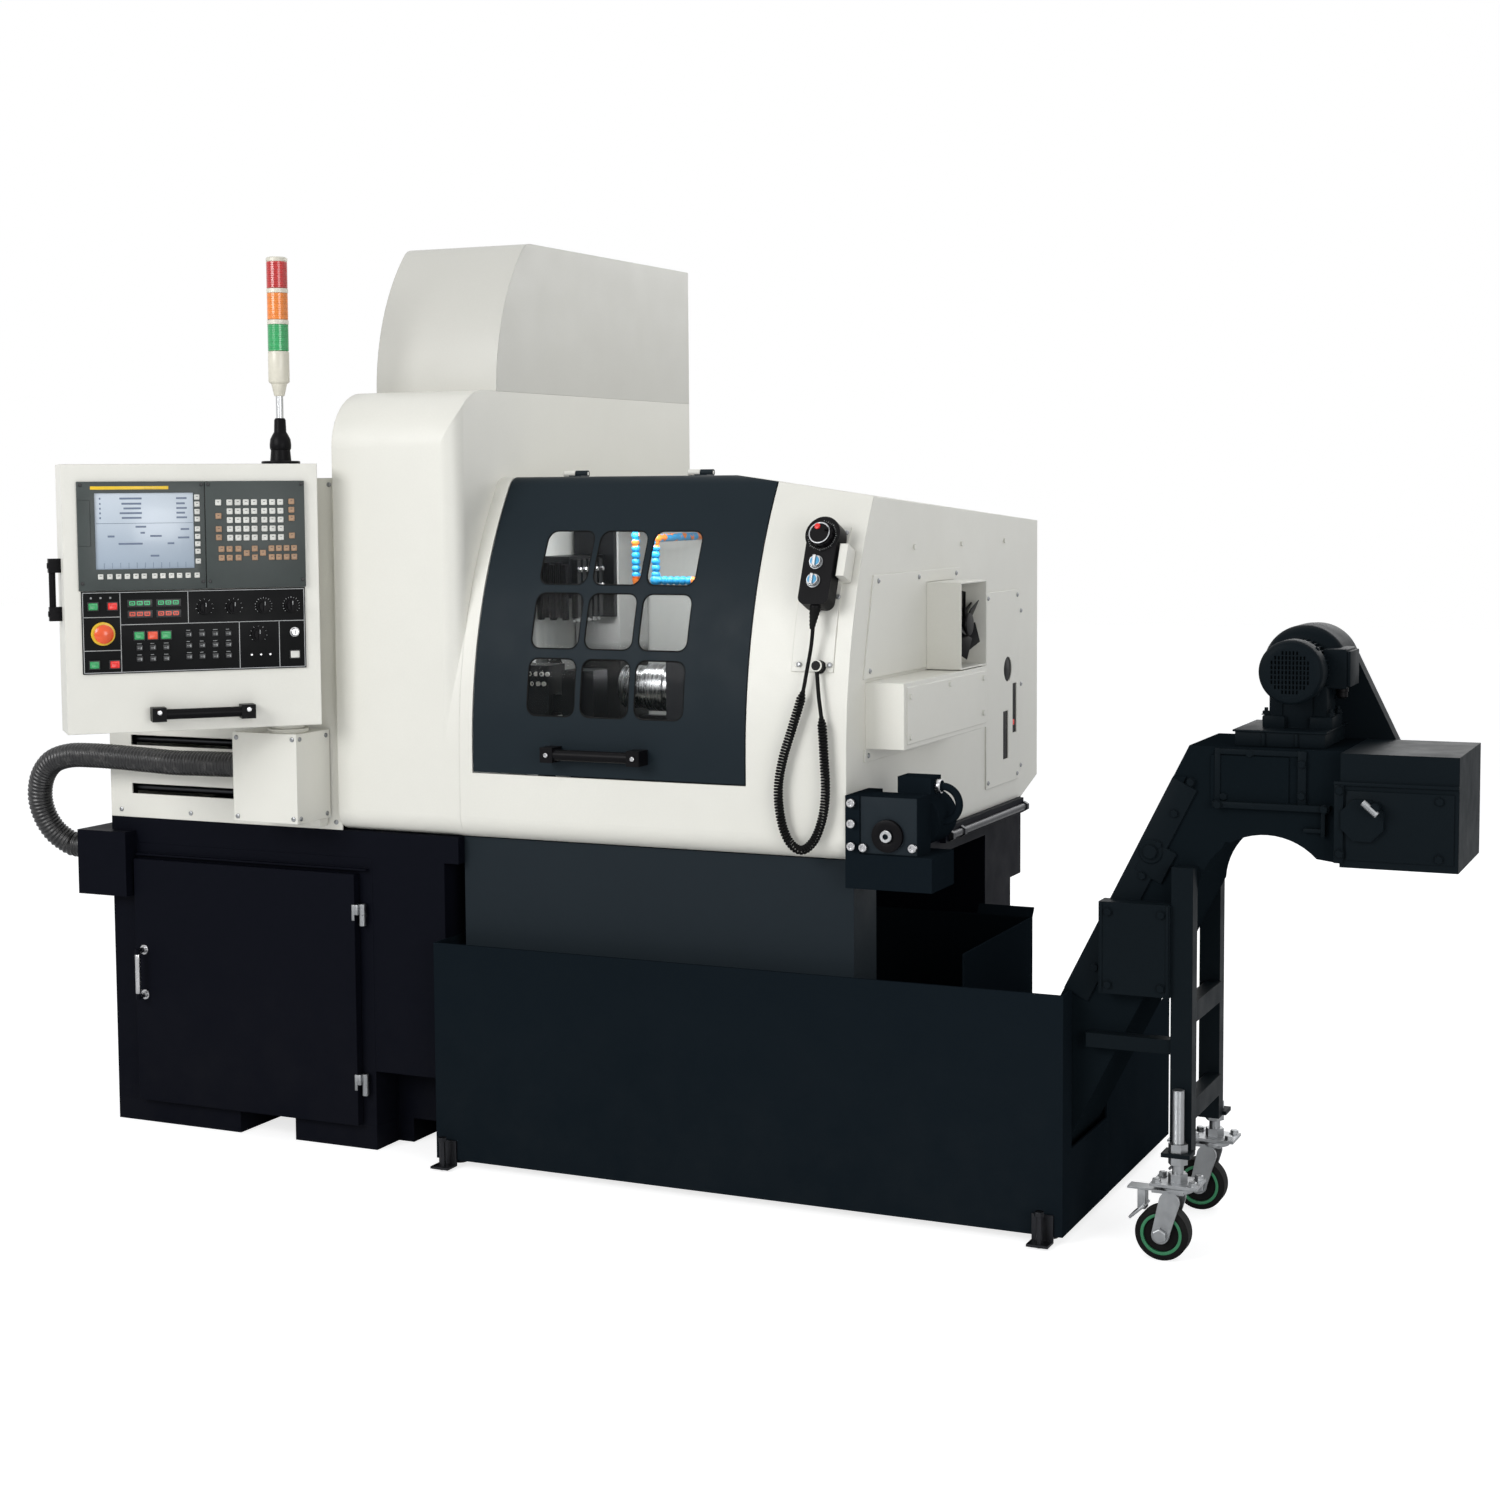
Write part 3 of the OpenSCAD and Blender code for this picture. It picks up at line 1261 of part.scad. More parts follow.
module signal_tower() placed() at_pendant()
    translate([display_x0 + tower_place.x, pendant_face + tower_place.y, pendant_top]) {
    lens_r = 23;
    lens_h = 57;
    ring_h = 11;
    pole_h = 58;
    base_z = 118 + pole_h;
    stack = base_z + 70;
    color(black_plastic) {
        cylinder(h = 6, r = 42);
        cylinder(h = 34, r = 21);
        translate([0, 0, 44]) sphere(23);
        translate([0, 0, 40]) cylinder(h = 60, r = 13);
    }
    color(bright_steel) translate([0, 0, 100]) cylinder(h = pole_h, r = 8);
    color(white_paint) {
        translate([0, 0, base_z - 26]) cylinder(h = 26, r1 = 11, r2 = 17);
        translate([0, 0, base_z]) cylinder(h = stack - base_z, r = lens_r);
        for (i = [0:2]) translate([0, 0, stack + (i + 1) * lens_h + i * ring_h])
            cylinder(h = ring_h, r = lens_r + 0.5);
        translate([0, 0, stack]) cylinder(h = 3 * (lens_h + ring_h), r = 12);
    }
    for (i = [0:2]) color(["#27A04B", "#E8821E", "#D3201C"][i])
        translate([0, 0, stack + i * (lens_h + ring_h)]) cylinder(h = lens_h, r = lens_r);
}

// Lift-up door
module door_region(grow) {
    slab([door_x0 - grow, front_y - 40, door_low - grow], [door_x1 + grow, door_back + grow, roof_h + 1]);
}

module door_panel() color(door_paint) placed() {
    edge = 4;
    difference() {
        union() {
            intersection() {
                skin(0, sheet, door_x0, door_x1);
                door_region(0);
            }
            intersection() {
                skin(0, flange, door_x0, door_x1);
                door_region(0);
                union() {
                    for (x = [door_x0, door_x1 - edge]) slab([x, -99, 0], [x + edge, 999, 1999]);
                    slab([0, -99, door_low], [1999, 999, door_low + edge]);
                    slab([0, door_back - edge, 0], [1999, door_back, 1999]);
                }
            }
        }
        for (w = window_rows, i = [-1:1]) along_y(front_y - 30, door_back)
            translate([window_x + i * window_pitch, w.x]) rounded(window_w, w.y, window_r);
    }
    for (x = hinge_xs) difference() {
        union() {
            rod_x([x + knuckle_l, hinge_y, hinge_z], hinge_r, knuckle_l);
            slab([x + knuckle_l, hinge_y - 35, roof_h - sheet], [x + 2 * knuckle_l, door_back, roof_h + 3]);
            slab([x + knuckle_l, hinge_y - 35, roof_h], [x + 2 * knuckle_l, hinge_y, roof_h + 3]);
        }
        rod_x([x + knuckle_l - 1, hinge_y, hinge_z], hinge_pin_r + fit, knuckle_l + 2);
    }
}

module door_windows() color(clear_blue, 0.4) placed() {
    margin = 16;
    half = window_pitch + window_w / 2 + margin;
    low = window_rows[0].x - window_rows[0].y / 2 - margin;
    high = window_rows[2].x + window_rows[2].y / 2 + margin;
    intersection() {
        skin(sheet + 0.2, pane_t, window_x - half, window_x + half);
        slab([window_x - half, -99, low], [window_x + half, door_back, high]);
    }
}

module door_handle() color(black_plastic) placed() {
    translate([door_x0 + door_w * 307 / 648, front_y, door_low + 48]) bar_handle(236, 42, 12);
}

module cabinet_door() color(navy_paint) placed() {
    x0 = cabinet_door_x1 - cabinet_door_w;
    z1 = cabinet_door_z0 + cabinet_door_h;
    skin_t = 3;
    grip = [x0 + 26, 309, 106];
    back = -2;
    difference() {
        slab([x0, back - cabinet_door_t, cabinet_door_z0], [cabinet_door_x1, back, z1]);
        slab([x0 + skin_t, back - cabinet_door_t + skin_t, cabinet_door_z0 + skin_t],
            [cabinet_door_x1 - skin_t, back + 1, z1 - skin_t]);
    }
    for (z = [grip[1], grip[1] + grip[2]])
        rod_y([grip[0], back - cabinet_door_t - 26, z], 6, 26);
    rod_z([grip[0], back - cabinet_door_t - 26, grip[1] - 6], 6, grip[2] + 12);
    for (z = cabinet_hinge_zs) difference() {
        union() {
            rod_z([cabinet_hinge.x, cabinet_hinge.y, z + cabinet_hinge_l / 2], hinge_r, cabinet_hinge_l / 2);
            slab([cabinet_door_x1 - 1, cabinet_hinge.y - 3, z + cabinet_hinge_l / 2],
                [cabinet_hinge.x, cabinet_hinge.y + 3, z + cabinet_hinge_l]);
        }
        rod_z([cabinet_hinge.x, cabinet_hinge.y, z], hinge_pin_r + fit, cabinet_hinge_l + 1);
    }
}

// Spindles and tool slide
module headstock() color(grey_paint) placed() {
    x0 = 430;
    x1 = 620;
    low = sill_h + way_h;
    difference() {
        slab([x0, spindle_y - 85, low], [x1, spindle_y + 85, spindle_z + 85]);
        rod_x([x0 - 1, spindle_y, spindle_z], spindle_r + fit, x1 - x0 + 2);
        slab([x0 - 1, spindle_y - 45, low - 1], [x1 + 1, spindle_y + 45, low + 120]);
    }
}

module main_spindle() color(bright_steel) placed() {
    difference() {
        union() {
            rod_x([390, spindle_y, spindle_z], spindle_r, 330);
            rod_x([390, spindle_y, spindle_z], spindle_r + 22, 39.5);
            rod_x([620.5, spindle_y, spindle_z], spindle_r + 12, 60);
            rod_x([720, spindle_y, spindle_z], spindle_r - 12, 24);
        }
        rod_x([380, spindle_y, spindle_z], bar_r, 380);
    }
}

liner_w = liner_x1 - liner_x0;
sub_x0 = liner_x0 + liner_w * 357 / 727;
sub_l = liner_w * 260 / 727;
sub_nose = liner_w * 140 / 727;

module sub_headstock() color(black_paint) placed() {
    low = bed_top + way_h;
    difference() {
        union() {
            slab([sub_x0, bed_y0 + 10, low], [sub_x0 + sub_l, bed_y1 - 4, spindle_z + 85]);
            slab([sub_x0, spindle_y - 85, spindle_z - 90], [sub_x0 + sub_l, bed_y0 + 10, spindle_z + 85]);
        }
        rod_x([sub_x0 - 1, spindle_y, spindle_z], sub_r + fit, sub_l + 2);
    }
}

module sub_spindle() color(bright_steel) placed() {
    difference() {
        union() {
            rod_x([sub_x0 - sub_nose, spindle_y, spindle_z], sub_r, sub_nose + sub_l + 40);
            rod_x([sub_x0 - sub_nose + 60, spindle_y, spindle_z], sub_r + 6, 50);
            rod_x([sub_x0 + sub_l + 0.5, spindle_y, spindle_z], sub_r + 16, 30);
        }
        rod_x([sub_x0 - sub_nose - 1, spindle_y, spindle_z], bar_r, sub_nose + sub_l + 42);
    }
}

module gang_slide() color(black_plastic) placed() {
    x0 = bed_x0 + 5;
    block = [80, spindle_z + 200, spindle_z + 295];
    tools = 5;
    pitch = 26;
    shank = 16;
    tip_z = spindle_z + 145;
    slab([x0, upright_front - 15, spindle_z + 150], [x0 + 105, upright_front, spindle_z + 350]);
    slab([x0, spindle_y - 50, block[1]], [x0 + block[0], upright_front - 15, block[2]]);
    for (i = [0:tools - 1]) {
        y = spindle_y - 40 + i * pitch;
        slab([x0 + block[0], y, tip_z + 10], [x0 + block[0] + shank, y + shank, block[2] - 6]);
        slab([x0 + block[0] + 2, y + 4, tip_z], [x0 + block[0] + 10, y + 12, tip_z + 10]);
    }
}

// Cords
module cable_hose() color(black_plastic) placed() {
    swept(hose_route, [for (p = hose_route) hose_r]);
}

module handwheel_cord() color(black_plastic) placed() {
    swept(cord_route, cord_radii);
}

machine_bed();
cabinet_shell();
cabinet_gear();
cable_box();
levelling_feet();
left_cover();
carriage_rail();
column_cover();
upper_cover();
enclosure();
chamber_liner();
spindle_bed();
guide_bush();
tool_blocks();
coolant_hoses();
handwheel_plate();
handwheel_body();
side_covers();
fan_duct();
feeder_drive();
apron();
tank();
conveyor_trough();
conveyor_belt();
conveyor_head();
conveyor_frame();
conveyor_motor();
chain_guard();
caster_stems();
carriage();
pendant_box();
display_unit();
operator_panel();
pendant_handles();
signal_tower();
stop_button();
knob_1();
knob_2();
knob_3();
knob_4();
knob_5();
door_panel();
door_windows();
door_handle();
cabinet_door();
handwheel_dial();
selector_1();
selector_2();
headstock();
main_spindle();
sub_headstock();
sub_spindle();
gang_slide();
fan_rotor();
caster_fork_1();
caster_fork_2();
caster_wheel_1();
caster_wheel_2();
cable_hose();
handwheel_cord();
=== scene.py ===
import math

import bpy
from mathutils import Matrix, Vector


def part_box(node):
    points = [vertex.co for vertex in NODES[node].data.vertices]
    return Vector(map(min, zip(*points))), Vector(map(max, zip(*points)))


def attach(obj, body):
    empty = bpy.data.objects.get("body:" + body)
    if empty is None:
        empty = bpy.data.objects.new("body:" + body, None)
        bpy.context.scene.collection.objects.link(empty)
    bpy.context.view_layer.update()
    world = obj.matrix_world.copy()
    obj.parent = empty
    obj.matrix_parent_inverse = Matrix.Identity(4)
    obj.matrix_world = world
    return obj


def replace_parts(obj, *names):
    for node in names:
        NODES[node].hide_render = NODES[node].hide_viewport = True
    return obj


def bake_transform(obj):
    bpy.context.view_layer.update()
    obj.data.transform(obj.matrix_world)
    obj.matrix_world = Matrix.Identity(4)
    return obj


bl_info = {
    "name": "Sliding-head lathe dressing",
    "version": (1, 0, 0),
    "blender": (4, 5, 0),
    "location": "View3D > Sidebar > Lathe",
    "description": "Dresses the packed lathe with finishes, cords, controls and fittings",
    "category": "Object",
}

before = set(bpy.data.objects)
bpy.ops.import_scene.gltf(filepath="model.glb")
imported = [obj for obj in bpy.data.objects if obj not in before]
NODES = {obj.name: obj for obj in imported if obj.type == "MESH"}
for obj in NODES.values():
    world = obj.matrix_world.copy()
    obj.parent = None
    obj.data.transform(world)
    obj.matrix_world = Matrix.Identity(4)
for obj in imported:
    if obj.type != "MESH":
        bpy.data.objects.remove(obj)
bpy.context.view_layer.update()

# The machine's own corner: left end of the covers, cabinet front, floor
CORNER = Vector(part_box("left_cover")[0])
CORNER.z = 0.0


def spot(x, y, z):
    """A place in machine millimetres, in the row frame."""
    return CORNER + Vector((x, y, z)) / 1000


def spun(degrees, axis):
    return Matrix.Rotation(math.radians(degrees), 4, axis)


def shift(x, y, z):
    """Matrix of a move in millimetres."""
    return Matrix.Translation(Vector((x, y, z)) / 1000)


def at(x, y, z, turn=None):
    """Matrix of a place in machine millimetres, turned if a turn is given."""
    place = Matrix.Translation(spot(x, y, z))
    return place if turn is None else place @ turn


# Turns that point a piece's Z out of a side of the machine
FRONT, REAR = spun(90, "X"), spun(-90, "X")
RIGHT, LEFT = spun(90, "Y"), spun(-90, "Y")
UNDER = spun(180, "X")

# Pendant: swivel pin, turn and face
SWIVEL = (560.0, -75.0)
PENDANT_TURN = 46
PENDANT_FACE = -81.7
PENDANT_LEFT = -450.4
PENDANT = at(*SWIVEL, 0, spun(PENDANT_TURN, "Z"))


def on_face(u, out, z):
    """A place on the pendant's face: along it, out of it and up, in millimetres."""
    return Vector((u + PENDANT_LEFT, PENDANT_FACE - out, z)) / 1000


# Arched front: its radius, and where the arch starts
ARC_R = 1016.0
ARC_Y = 1002.0
ARC_Z = 920.0


def front_at(z):
    """Depth of the arched front at a height, in machine millimetres."""
    return ARC_Y - math.sqrt(ARC_R**2 - max(0.0, z - ARC_Z) ** 2)


def on_arch(x, z):
    """Matrix of a place on the arched front, its -Y pointing out."""
    lean = math.asin(max(0.0, z - ARC_Z) / ARC_R)
    return at(x, front_at(z), z, Matrix.Rotation(-lean, 4, "X"))


# Modelling


def clear_selection():
    if bpy.context.mode != "OBJECT":
        bpy.ops.object.mode_set(mode="OBJECT")
    bpy.ops.object.select_all(action="DESELECT")


def pick(piece):
    clear_selection()
    piece.select_set(True)
    bpy.context.view_layer.objects.active = piece


def named(name):
    piece = bpy.context.view_layer.objects.active
    piece.name = name
    piece.data.name = name
    return piece


def smoothed(piece, degrees=35):
    pick(piece)
    bpy.ops.object.shade_smooth_by_angle(angle=math.radians(degrees))
    return piece


def block(name, low, high, edge):
    """A block between two corners in metres, its edges rounded by millimetres."""
    clear_selection()
    bpy.ops.mesh.primitive_cube_add(size=1, location=(low + high) / 2)
    piece = named(name)
    piece.scale = high - low
    bpy.ops.object.transform_apply(location=True, rotation=True, scale=True)
    if edge:
        bpy.ops.object.mode_set(mode="EDIT")
        bpy.ops.mesh.select_all(action="SELECT")
        bpy.ops.mesh.bevel(offset=edge / 1000, segments=2, affect="EDGES")
        bpy.ops.object.mode_set(mode="OBJECT")
        smoothed(piece, 40)
    return piece


def small(name, low, high, edge=0.0):
    """A block round its own origin, in millimetres."""
    return block(name, Vector(low) / 1000, Vector(high) / 1000, edge)


def boxes(rows, edge=0.0, name="part"):
    """Blocks between two corners each, in machine millimetres."""
    return [block(name, spot(*row[:3]), spot(*row[3:]), edge) for row in rows]


def disc(name, radius, sides, low):
    """A filled circle on Z, left in edit mode with everything selected; sizes in metres."""
    clear_selection()
    bpy.ops.mesh.primitive_circle_add(vertices=sides, radius=radius, fill_type="NGON")
    piece = named(name)
    bpy.ops.object.mode_set(mode="EDIT")
    bpy.ops.mesh.select_all(action="SELECT")
    bpy.ops.transform.translate(value=(0, 0, low))
    return piece


def turned(name, stations, sides=32, sharp=30):
    """A turned piece on Z: heights and radii in millimetres, extruded one after another."""
    stations = [(z / 1000, r / 1000) for z, r in stations]
    piece = disc(name, stations[0][1], sides, stations[0][0])
    for (low, inner), (high, outer) in zip(stations, stations[1:]):
        bpy.ops.mesh.extrude_region_move(TRANSFORM_OT_translate={"value": (0, 0, high - low)})
        if abs(outer - inner) > 1e-9:
            grow = outer / inner
            bpy.ops.transform.resize(value=(grow, grow, 1), center_override=(0, 0, high))
    bpy.ops.mesh.select_all(action="SELECT")
    bpy.ops.mesh.remove_doubles(threshold=1e-6)
    bpy.ops.mesh.normals_make_consistent(inside=False)
    bpy.ops.object.mode_set(mode="OBJECT")
    return smoothed(piece, sharp)


def ring(name, outer, inner, low, high, sides=40, edge=0.0):
    """A flat ring on Z in millimetres: a disc inset, its middle deleted, then thickened."""
    piece = disc(name, outer / 1000, sides, low / 1000)
    bpy.ops.mesh.inset(thickness=(outer - inner) / 1000 * math.cos(math.pi / sides), depth=0)
    bpy.ops.mesh.delete(type="FACE")
    bpy.ops.mesh.select_all(action="SELECT")
    bpy.ops.mesh.extrude_region_move(TRANSFORM_OT_translate={"value": (0, 0, (high - low) / 1000)})
    bpy.ops.mesh.select_all(action="SELECT")
    bpy.ops.mesh.normals_make_consistent(inside=False)
    bpy.ops.object.mode_set(mode="OBJECT")
    if edge:
        bevel = piece.modifiers.new("edge", "BEVEL")
        bevel.width = edge / 1000
        bevel.segments = 2
        bpy.ops.object.modifier_apply(modifier="edge")
    return smoothed(piece)


def settled(piece, matrix):
    """Puts a piece in its place, with the place in its mesh."""
    piece.data.transform(matrix)
    piece.data.update()
    return piece


def aimed(base, direction):
    """Matrix that stands a turned piece on a place, its Z along a direction."""
    turn = Vector((0, 0, 1)).rotation_difference(Vector(direction).normalized())
    return Matrix.Translation(base) @ turn.to_matrix().to_4x4()


def joined(pieces, name):
    clear_selection()
    for piece in pieces:
        piece.select_set(True)
    bpy.context.view_layer.objects.active = pieces[0]
    if len(pieces) > 1:
        bpy.ops.object.join()
    return named(name)


def copies(piece, places, name):
    """Copies of a piece, each with its own mesh, joined under one name."""
    made = []
    for place in places:
        one = piece.copy()
        one.data = piece.data.copy()
        bpy.context.collection.objects.link(one)
        one.data.transform(place)
        made.append(one)
    bpy.data.objects.remove(piece)
    return joined(made, name)


def carved(piece, cutter):
    """Cuts one piece out of another."""
    pick(piece)
    cut = piece.modifiers.new("cut", "BOOLEAN")
    cut.operation = "DIFFERENCE"
    cut.solver = "EXACT"
    cut.object = cutter
    bpy.ops.object.modifier_apply(modifier="cut")
    bpy.data.objects.remove(cutter)
    return piece


FINISHES = {}

# The record's slot of a finish, where a piece doesn't name another
SLOTS = {
    "apron": "apron_blue",
    "black": "black_plastic",
    "blue_cap": "hose_blue",
    "bright": "steel",
    "conveyor": "conveyor_black",
    "hose": "hose_black",
    "red_key": "stop_red",
    "rubber": "black_plastic",
    "steel": "steel",
    "tank": "tank_dark",
    "wheel_green": "wheel_dark",
    "zinc": "zinc",
}


def dressed(piece, finish, body="base", slot=None):
    """Gives a piece its finish and the body it rides on; its slot is looked up and not kept."""
    piece.data.materials.clear()
    piece.data.materials.append(FINISHES[finish])
    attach(piece, body)
    slot or SLOTS[finish]
    return piece


def framed(centres):
    """Each centre of a line with two directions square to it that don't twist."""
    side, last = None, len(centres) - 1
    for i, centre in enumerate(centres):
        ahead = (centres[min(i + 1, last)] - centres[max(i - 1, 0)]).normalized()
        if side is None:
            side = ahead.orthogonal()
        side = (side - ahead * side.dot(ahead)).normalized()
        yield centre, side, ahead.cross(side)


def around(centre, side, up, radius, turn):
    return centre + radius * (math.cos(turn) * side + math.sin(turn) * up)


def swept(name, centres, radii, sides):
    """A tube round a line of centres, for hoses and cords; sizes in metres."""
    rings, faces = [], []
    for (centre, side, up), radius in zip(framed(centres), radii):
        for k in range(sides):
            rings.append(around(centre, side, up, radius, 2 * math.pi * k / sides))
    count = len(centres)
    for i in range(count - 1):
        a, b = i * sides, (i + 1) * sides
        for k in range(sides):
            after = (k + 1) % sides
            faces.append((a + k, a + after, b + after, b + k))
    faces.append(tuple(reversed(range(sides))))
    faces.append(tuple((count - 1) * sides + k for k in range(sides)))
    mesh = bpy.data.meshes.new(name)
    mesh.from_pydata([tuple(v) for v in rings], [], faces)
    mesh.update()
    piece = bpy.data.objects.new(name, mesh)
    bpy.context.collection.objects.link(piece)
    return smoothed(piece, 60)


def eased(points, step):
    """Points every step along a smooth curve through the given ones."""
    fine = []
    last, parts = len(points) - 1, 40
    for i in range(last):
        a, b = points[max(i - 1, 0)], points[i]
        c, d = points[i + 1], points[min(i + 2, last)]
        for k in range(parts):
            t = k / parts
            bend = (2 * a - 5 * b + 4 * c - d) * t * t + (3 * b - a - 3 * c + d) * t**3
            fine.append(0.5 * (2 * b + (c - a) * t + bend))
    fine.append(points[-1])
    spaced, left = [fine[0]], step
    for a, b in zip(fine, fine[1:]):
        run = (b - a).length
        while run >= left:
            a = a + (b - a) * (left / run)
            spaced.append(a)
            run = (b - a).length
            left = step
        left -= run
    if (spaced[-1] - fine[-1]).length > step * 0.3:
        spaced.append(fine[-1])
    else:
        spaced[-1] = fine[-1]
    return spaced


def run_of(points):
    return sum((b - a).length for a, b in zip(points, points[1:]))


# Finishes


class Tap:
    """A shader value: Python's operators on it add Math nodes."""

    def __init__(self, finish, socket):
        self.finish = finish
        self.socket = socket

    def _math(self, operation, other):
        return self.finish.node("ShaderNodeMath", {"operation": operation}, {0: self, 1: other})

    def __add__(self, other):
        return self._math("ADD", other)

    def __mul__(self, other):
        return self._math("MULTIPLY", other)

    def __gt__(self, other):
        return self._math("GREATER_THAN", other)

    def __lt__(self, other):
        return self._math("LESS_THAN", other)


class Finish:
    """A procedural material on Object coordinates."""

    def __init__(self, name):
        self.material = bpy.data.materials.new(name)
        self.material.use_nodes = True
        self.tree = self.material.node_tree
        self.tree.nodes.clear()
        self.shader = self.tree.nodes.new("ShaderNodeBsdfPrincipled")
        self.output = self.tree.nodes.new("ShaderNodeOutputMaterial")
        self.tree.links.new(self.shader.outputs[0], self.output.inputs[0])
        self.place = self.node("ShaderNodeTexCoord", {}, {}, "Object")

    def feed(self, node, key, value):
        if isinstance(value, Tap):
            self.tree.links.new(value.socket, node.inputs[key])
        else:
            node.inputs[key].default_value = value

    def node(self, kind, settings, sockets, output=0):
        made = self.tree.nodes.new(kind)
        for key, value in settings.items():
            setattr(made, key, value)
        for key, value in sockets.items():
            self.feed(made, key, value)
        return Tap(self, made.outputs[output])

    def set(self, **sockets):
        for key, value in sockets.items():
            self.feed(self.shader, key.replace("_", " "), value)
        return self

    def noise(self, scale, detail=3.0, rough=0.55, stretch=(1, 1, 1)):
        place = self.place
        if stretch != (1, 1, 1):
            place = self.node("ShaderNodeMapping", {}, {"Vector": place, "Scale": stretch})
        sockets = {"Vector": place, "Scale": scale, "Detail": detail, "Roughness": rough}
        return self.node("ShaderNodeTexNoise", {}, sockets)

    def ramp(self, value, low, high, first=0.0, second=1.0):
        sockets = {"From Min": low, "From Max": high, "To Min": first, "To Max": second}
        return self.node("ShaderNodeMapRange", {}, {"Value": value, **sockets})

    def mix(self, factor, first, second):
        sockets = {0: factor, 6: first, 7: second}
        return self.node("ShaderNodeMix", {"data_type": "RGBA"}, sockets, 2)

    def height(self):
        return self.node("ShaderNodeSeparateXYZ", {}, {0: self.place}, 2)

    def rounded(self, radius):
        return self.node("ShaderNodeBevel", {"samples": 4}, {"Radius": radius})

    def bump(self, value, strength, distance, normal=None):
        sockets = {"Height": value, "Strength": strength, "Distance": distance}
        if normal:
            sockets["Normal"] = normal
        return self.node("ShaderNodeBump", {}, sockets)


def tint(colour, factor):
    return tuple(min(1.0, c * factor) for c in colour[:3]) + (1.0,)


def paint(name, colour, rough=0.4, edge=0.002, grime=0.12, coat=0.08, peel=0.10, sheen=0.5):
    """Powder coat: fine orange peel, faint cloudiness, dust low down and rubbed sheen."""
    f = Finish(name)
    cloud = f.noise(2.2, 4.0)
    speck = f.noise(240.0, 2.0)
    dust = f.ramp(f.height(), 0.0, 0.5, grime, 0.0) * f.ramp(f.noise(9.0, 5.0, 0.65), 0.35, 0.75)
    shade = f.mix(f.ramp(cloud, 0.3, 0.7), tint(colour, 0.965), tint(colour, 1.03))
    shade = f.mix(f.ramp(speck, 0.35, 0.65, 0.0, 0.25), shade, tint(colour, 0.95))
    shade = f.mix(dust, shade, (0.30, 0.28, 0.25, 1.0))
    sheer = f.ramp(f.noise(14.0, 4.0), 0.3, 0.7, rough - 0.05, rough + 0.07)
    f.set(Base_Color=shade, Roughness=sheer + dust * 0.3)
    f.set(Specular_IOR_Level=sheen, Coat_Weight=coat, Coat_Roughness=0.25)
    f.set(Normal=f.bump(f.noise(420.0, 1.0), peel, 0.0006, f.rounded(edge)))
    return f.material


def metal(name, colour, rough=0.28, stretch=(1, 1, 1), scale=260.0, edge=0.0006, wear=0.3):
    """Machined or plated metal with tool marks along one direction and faint stains."""
    f = Finish(name)
    marks = f.noise(scale, 4.0, 0.6, stretch)
    stain = f.noise(24.0, 5.0, 0.6)
    shade = f.mix(f.ramp(stain, 0.35, 0.7, 0.0, wear), tint(colour, 1.0), tint(colour, 0.62))
    shade = f.mix(f.ramp(marks, 0.3, 0.7, 0.0, 0.3), shade, tint(colour, 1.25))
    sheer = f.ramp(marks, 0.25, 0.75, rough - 0.08, rough + 0.12)
    f.set(Base_Color=shade, Metallic=1.0, Roughness=sheer)
    f.set(Normal=f.bump(marks, 0.12, 0.0004, f.rounded(edge)))
    return f.material


def plastic(name, colour, rough=0.42, grain=520.0, depth=0.18, edge=0.0009, coat=0.0, sheen=0.5):
    """Moulded plastic or rubber with a fine spark-eroded grain."""
    f = Finish(name)
    pits = f.noise(grain, 2.0)
    worn = f.noise(18.0, 4.0, 0.6)
    shade = f.mix(f.ramp(worn, 0.35, 0.7), tint(colour, 0.9), tint(colour, 1.12))
    f.set(Base_Color=shade, Roughness=f.ramp(worn, 0.3, 0.7, rough - 0.05, rough + 0.08))
    f.set(Specular_IOR_Level=sheen, Coat_Weight=coat)
    f.set(Normal=f.bump(pits, depth, 0.0004, f.rounded(edge)))
    return f.material


def lit(name, colour, strength, rough=0.25):
    """A lamp cap or lit segment with a faint inner mottle."""
    f = Finish(name)
    mottle = f.noise(160.0, 2.0)
    shade = f.mix(f.ramp(mottle, 0.3, 0.7), tint(colour, 0.85), tint(colour, 1.1))
    f.set(Base_Color=shade, Roughness=rough, Emission_Color=shade, Emission_Strength=strength)
    return f.material


def lens(name, colour):
    """Coloured lamp lens with moulded vertical ribs inside."""
    f = Finish(name)
    inner = f.noise(60.0, 3.0, 0.5, (1.0, 1.0, 0.05))
    sockets = {"Vector": f.place, "Scale": 26.0, "Distortion": 0.4}
    band = f.node("ShaderNodeTexWave", {"bands_direction": "Z"}, sockets)
    shade = f.mix(f.ramp(inner, 0.3, 0.7), tint(colour, 0.72), tint(colour, 1.15))
    shade = f.mix(f.ramp(band, 0.4, 0.9, 0.0, 0.25), shade, tint(colour, 0.6))
    f.set(Base_Color=shade, Roughness=0.16, Emission_Color=shade, Emission_Strength=0.12)
    f.set(Coat_Weight=0.6)
    return f.material


def pane(name):
    """Clear polycarbonate with faint scratches."""
    f = Finish(name)
    scratch = f.noise(90.0, 6.0, 0.7, (1.0, 1.0, 0.12))
    f.set(Base_Color=(0.06, 0.07, 0.07, 1.0), Roughness=f.ramp(scratch, 0.4, 0.8, 0.03, 0.12))
    f.set(Alpha=f.ramp(scratch, 0.45, 0.8, 0.03, 0.06))
    f.set(Specular_IOR_Level=0.3)
    return f.material


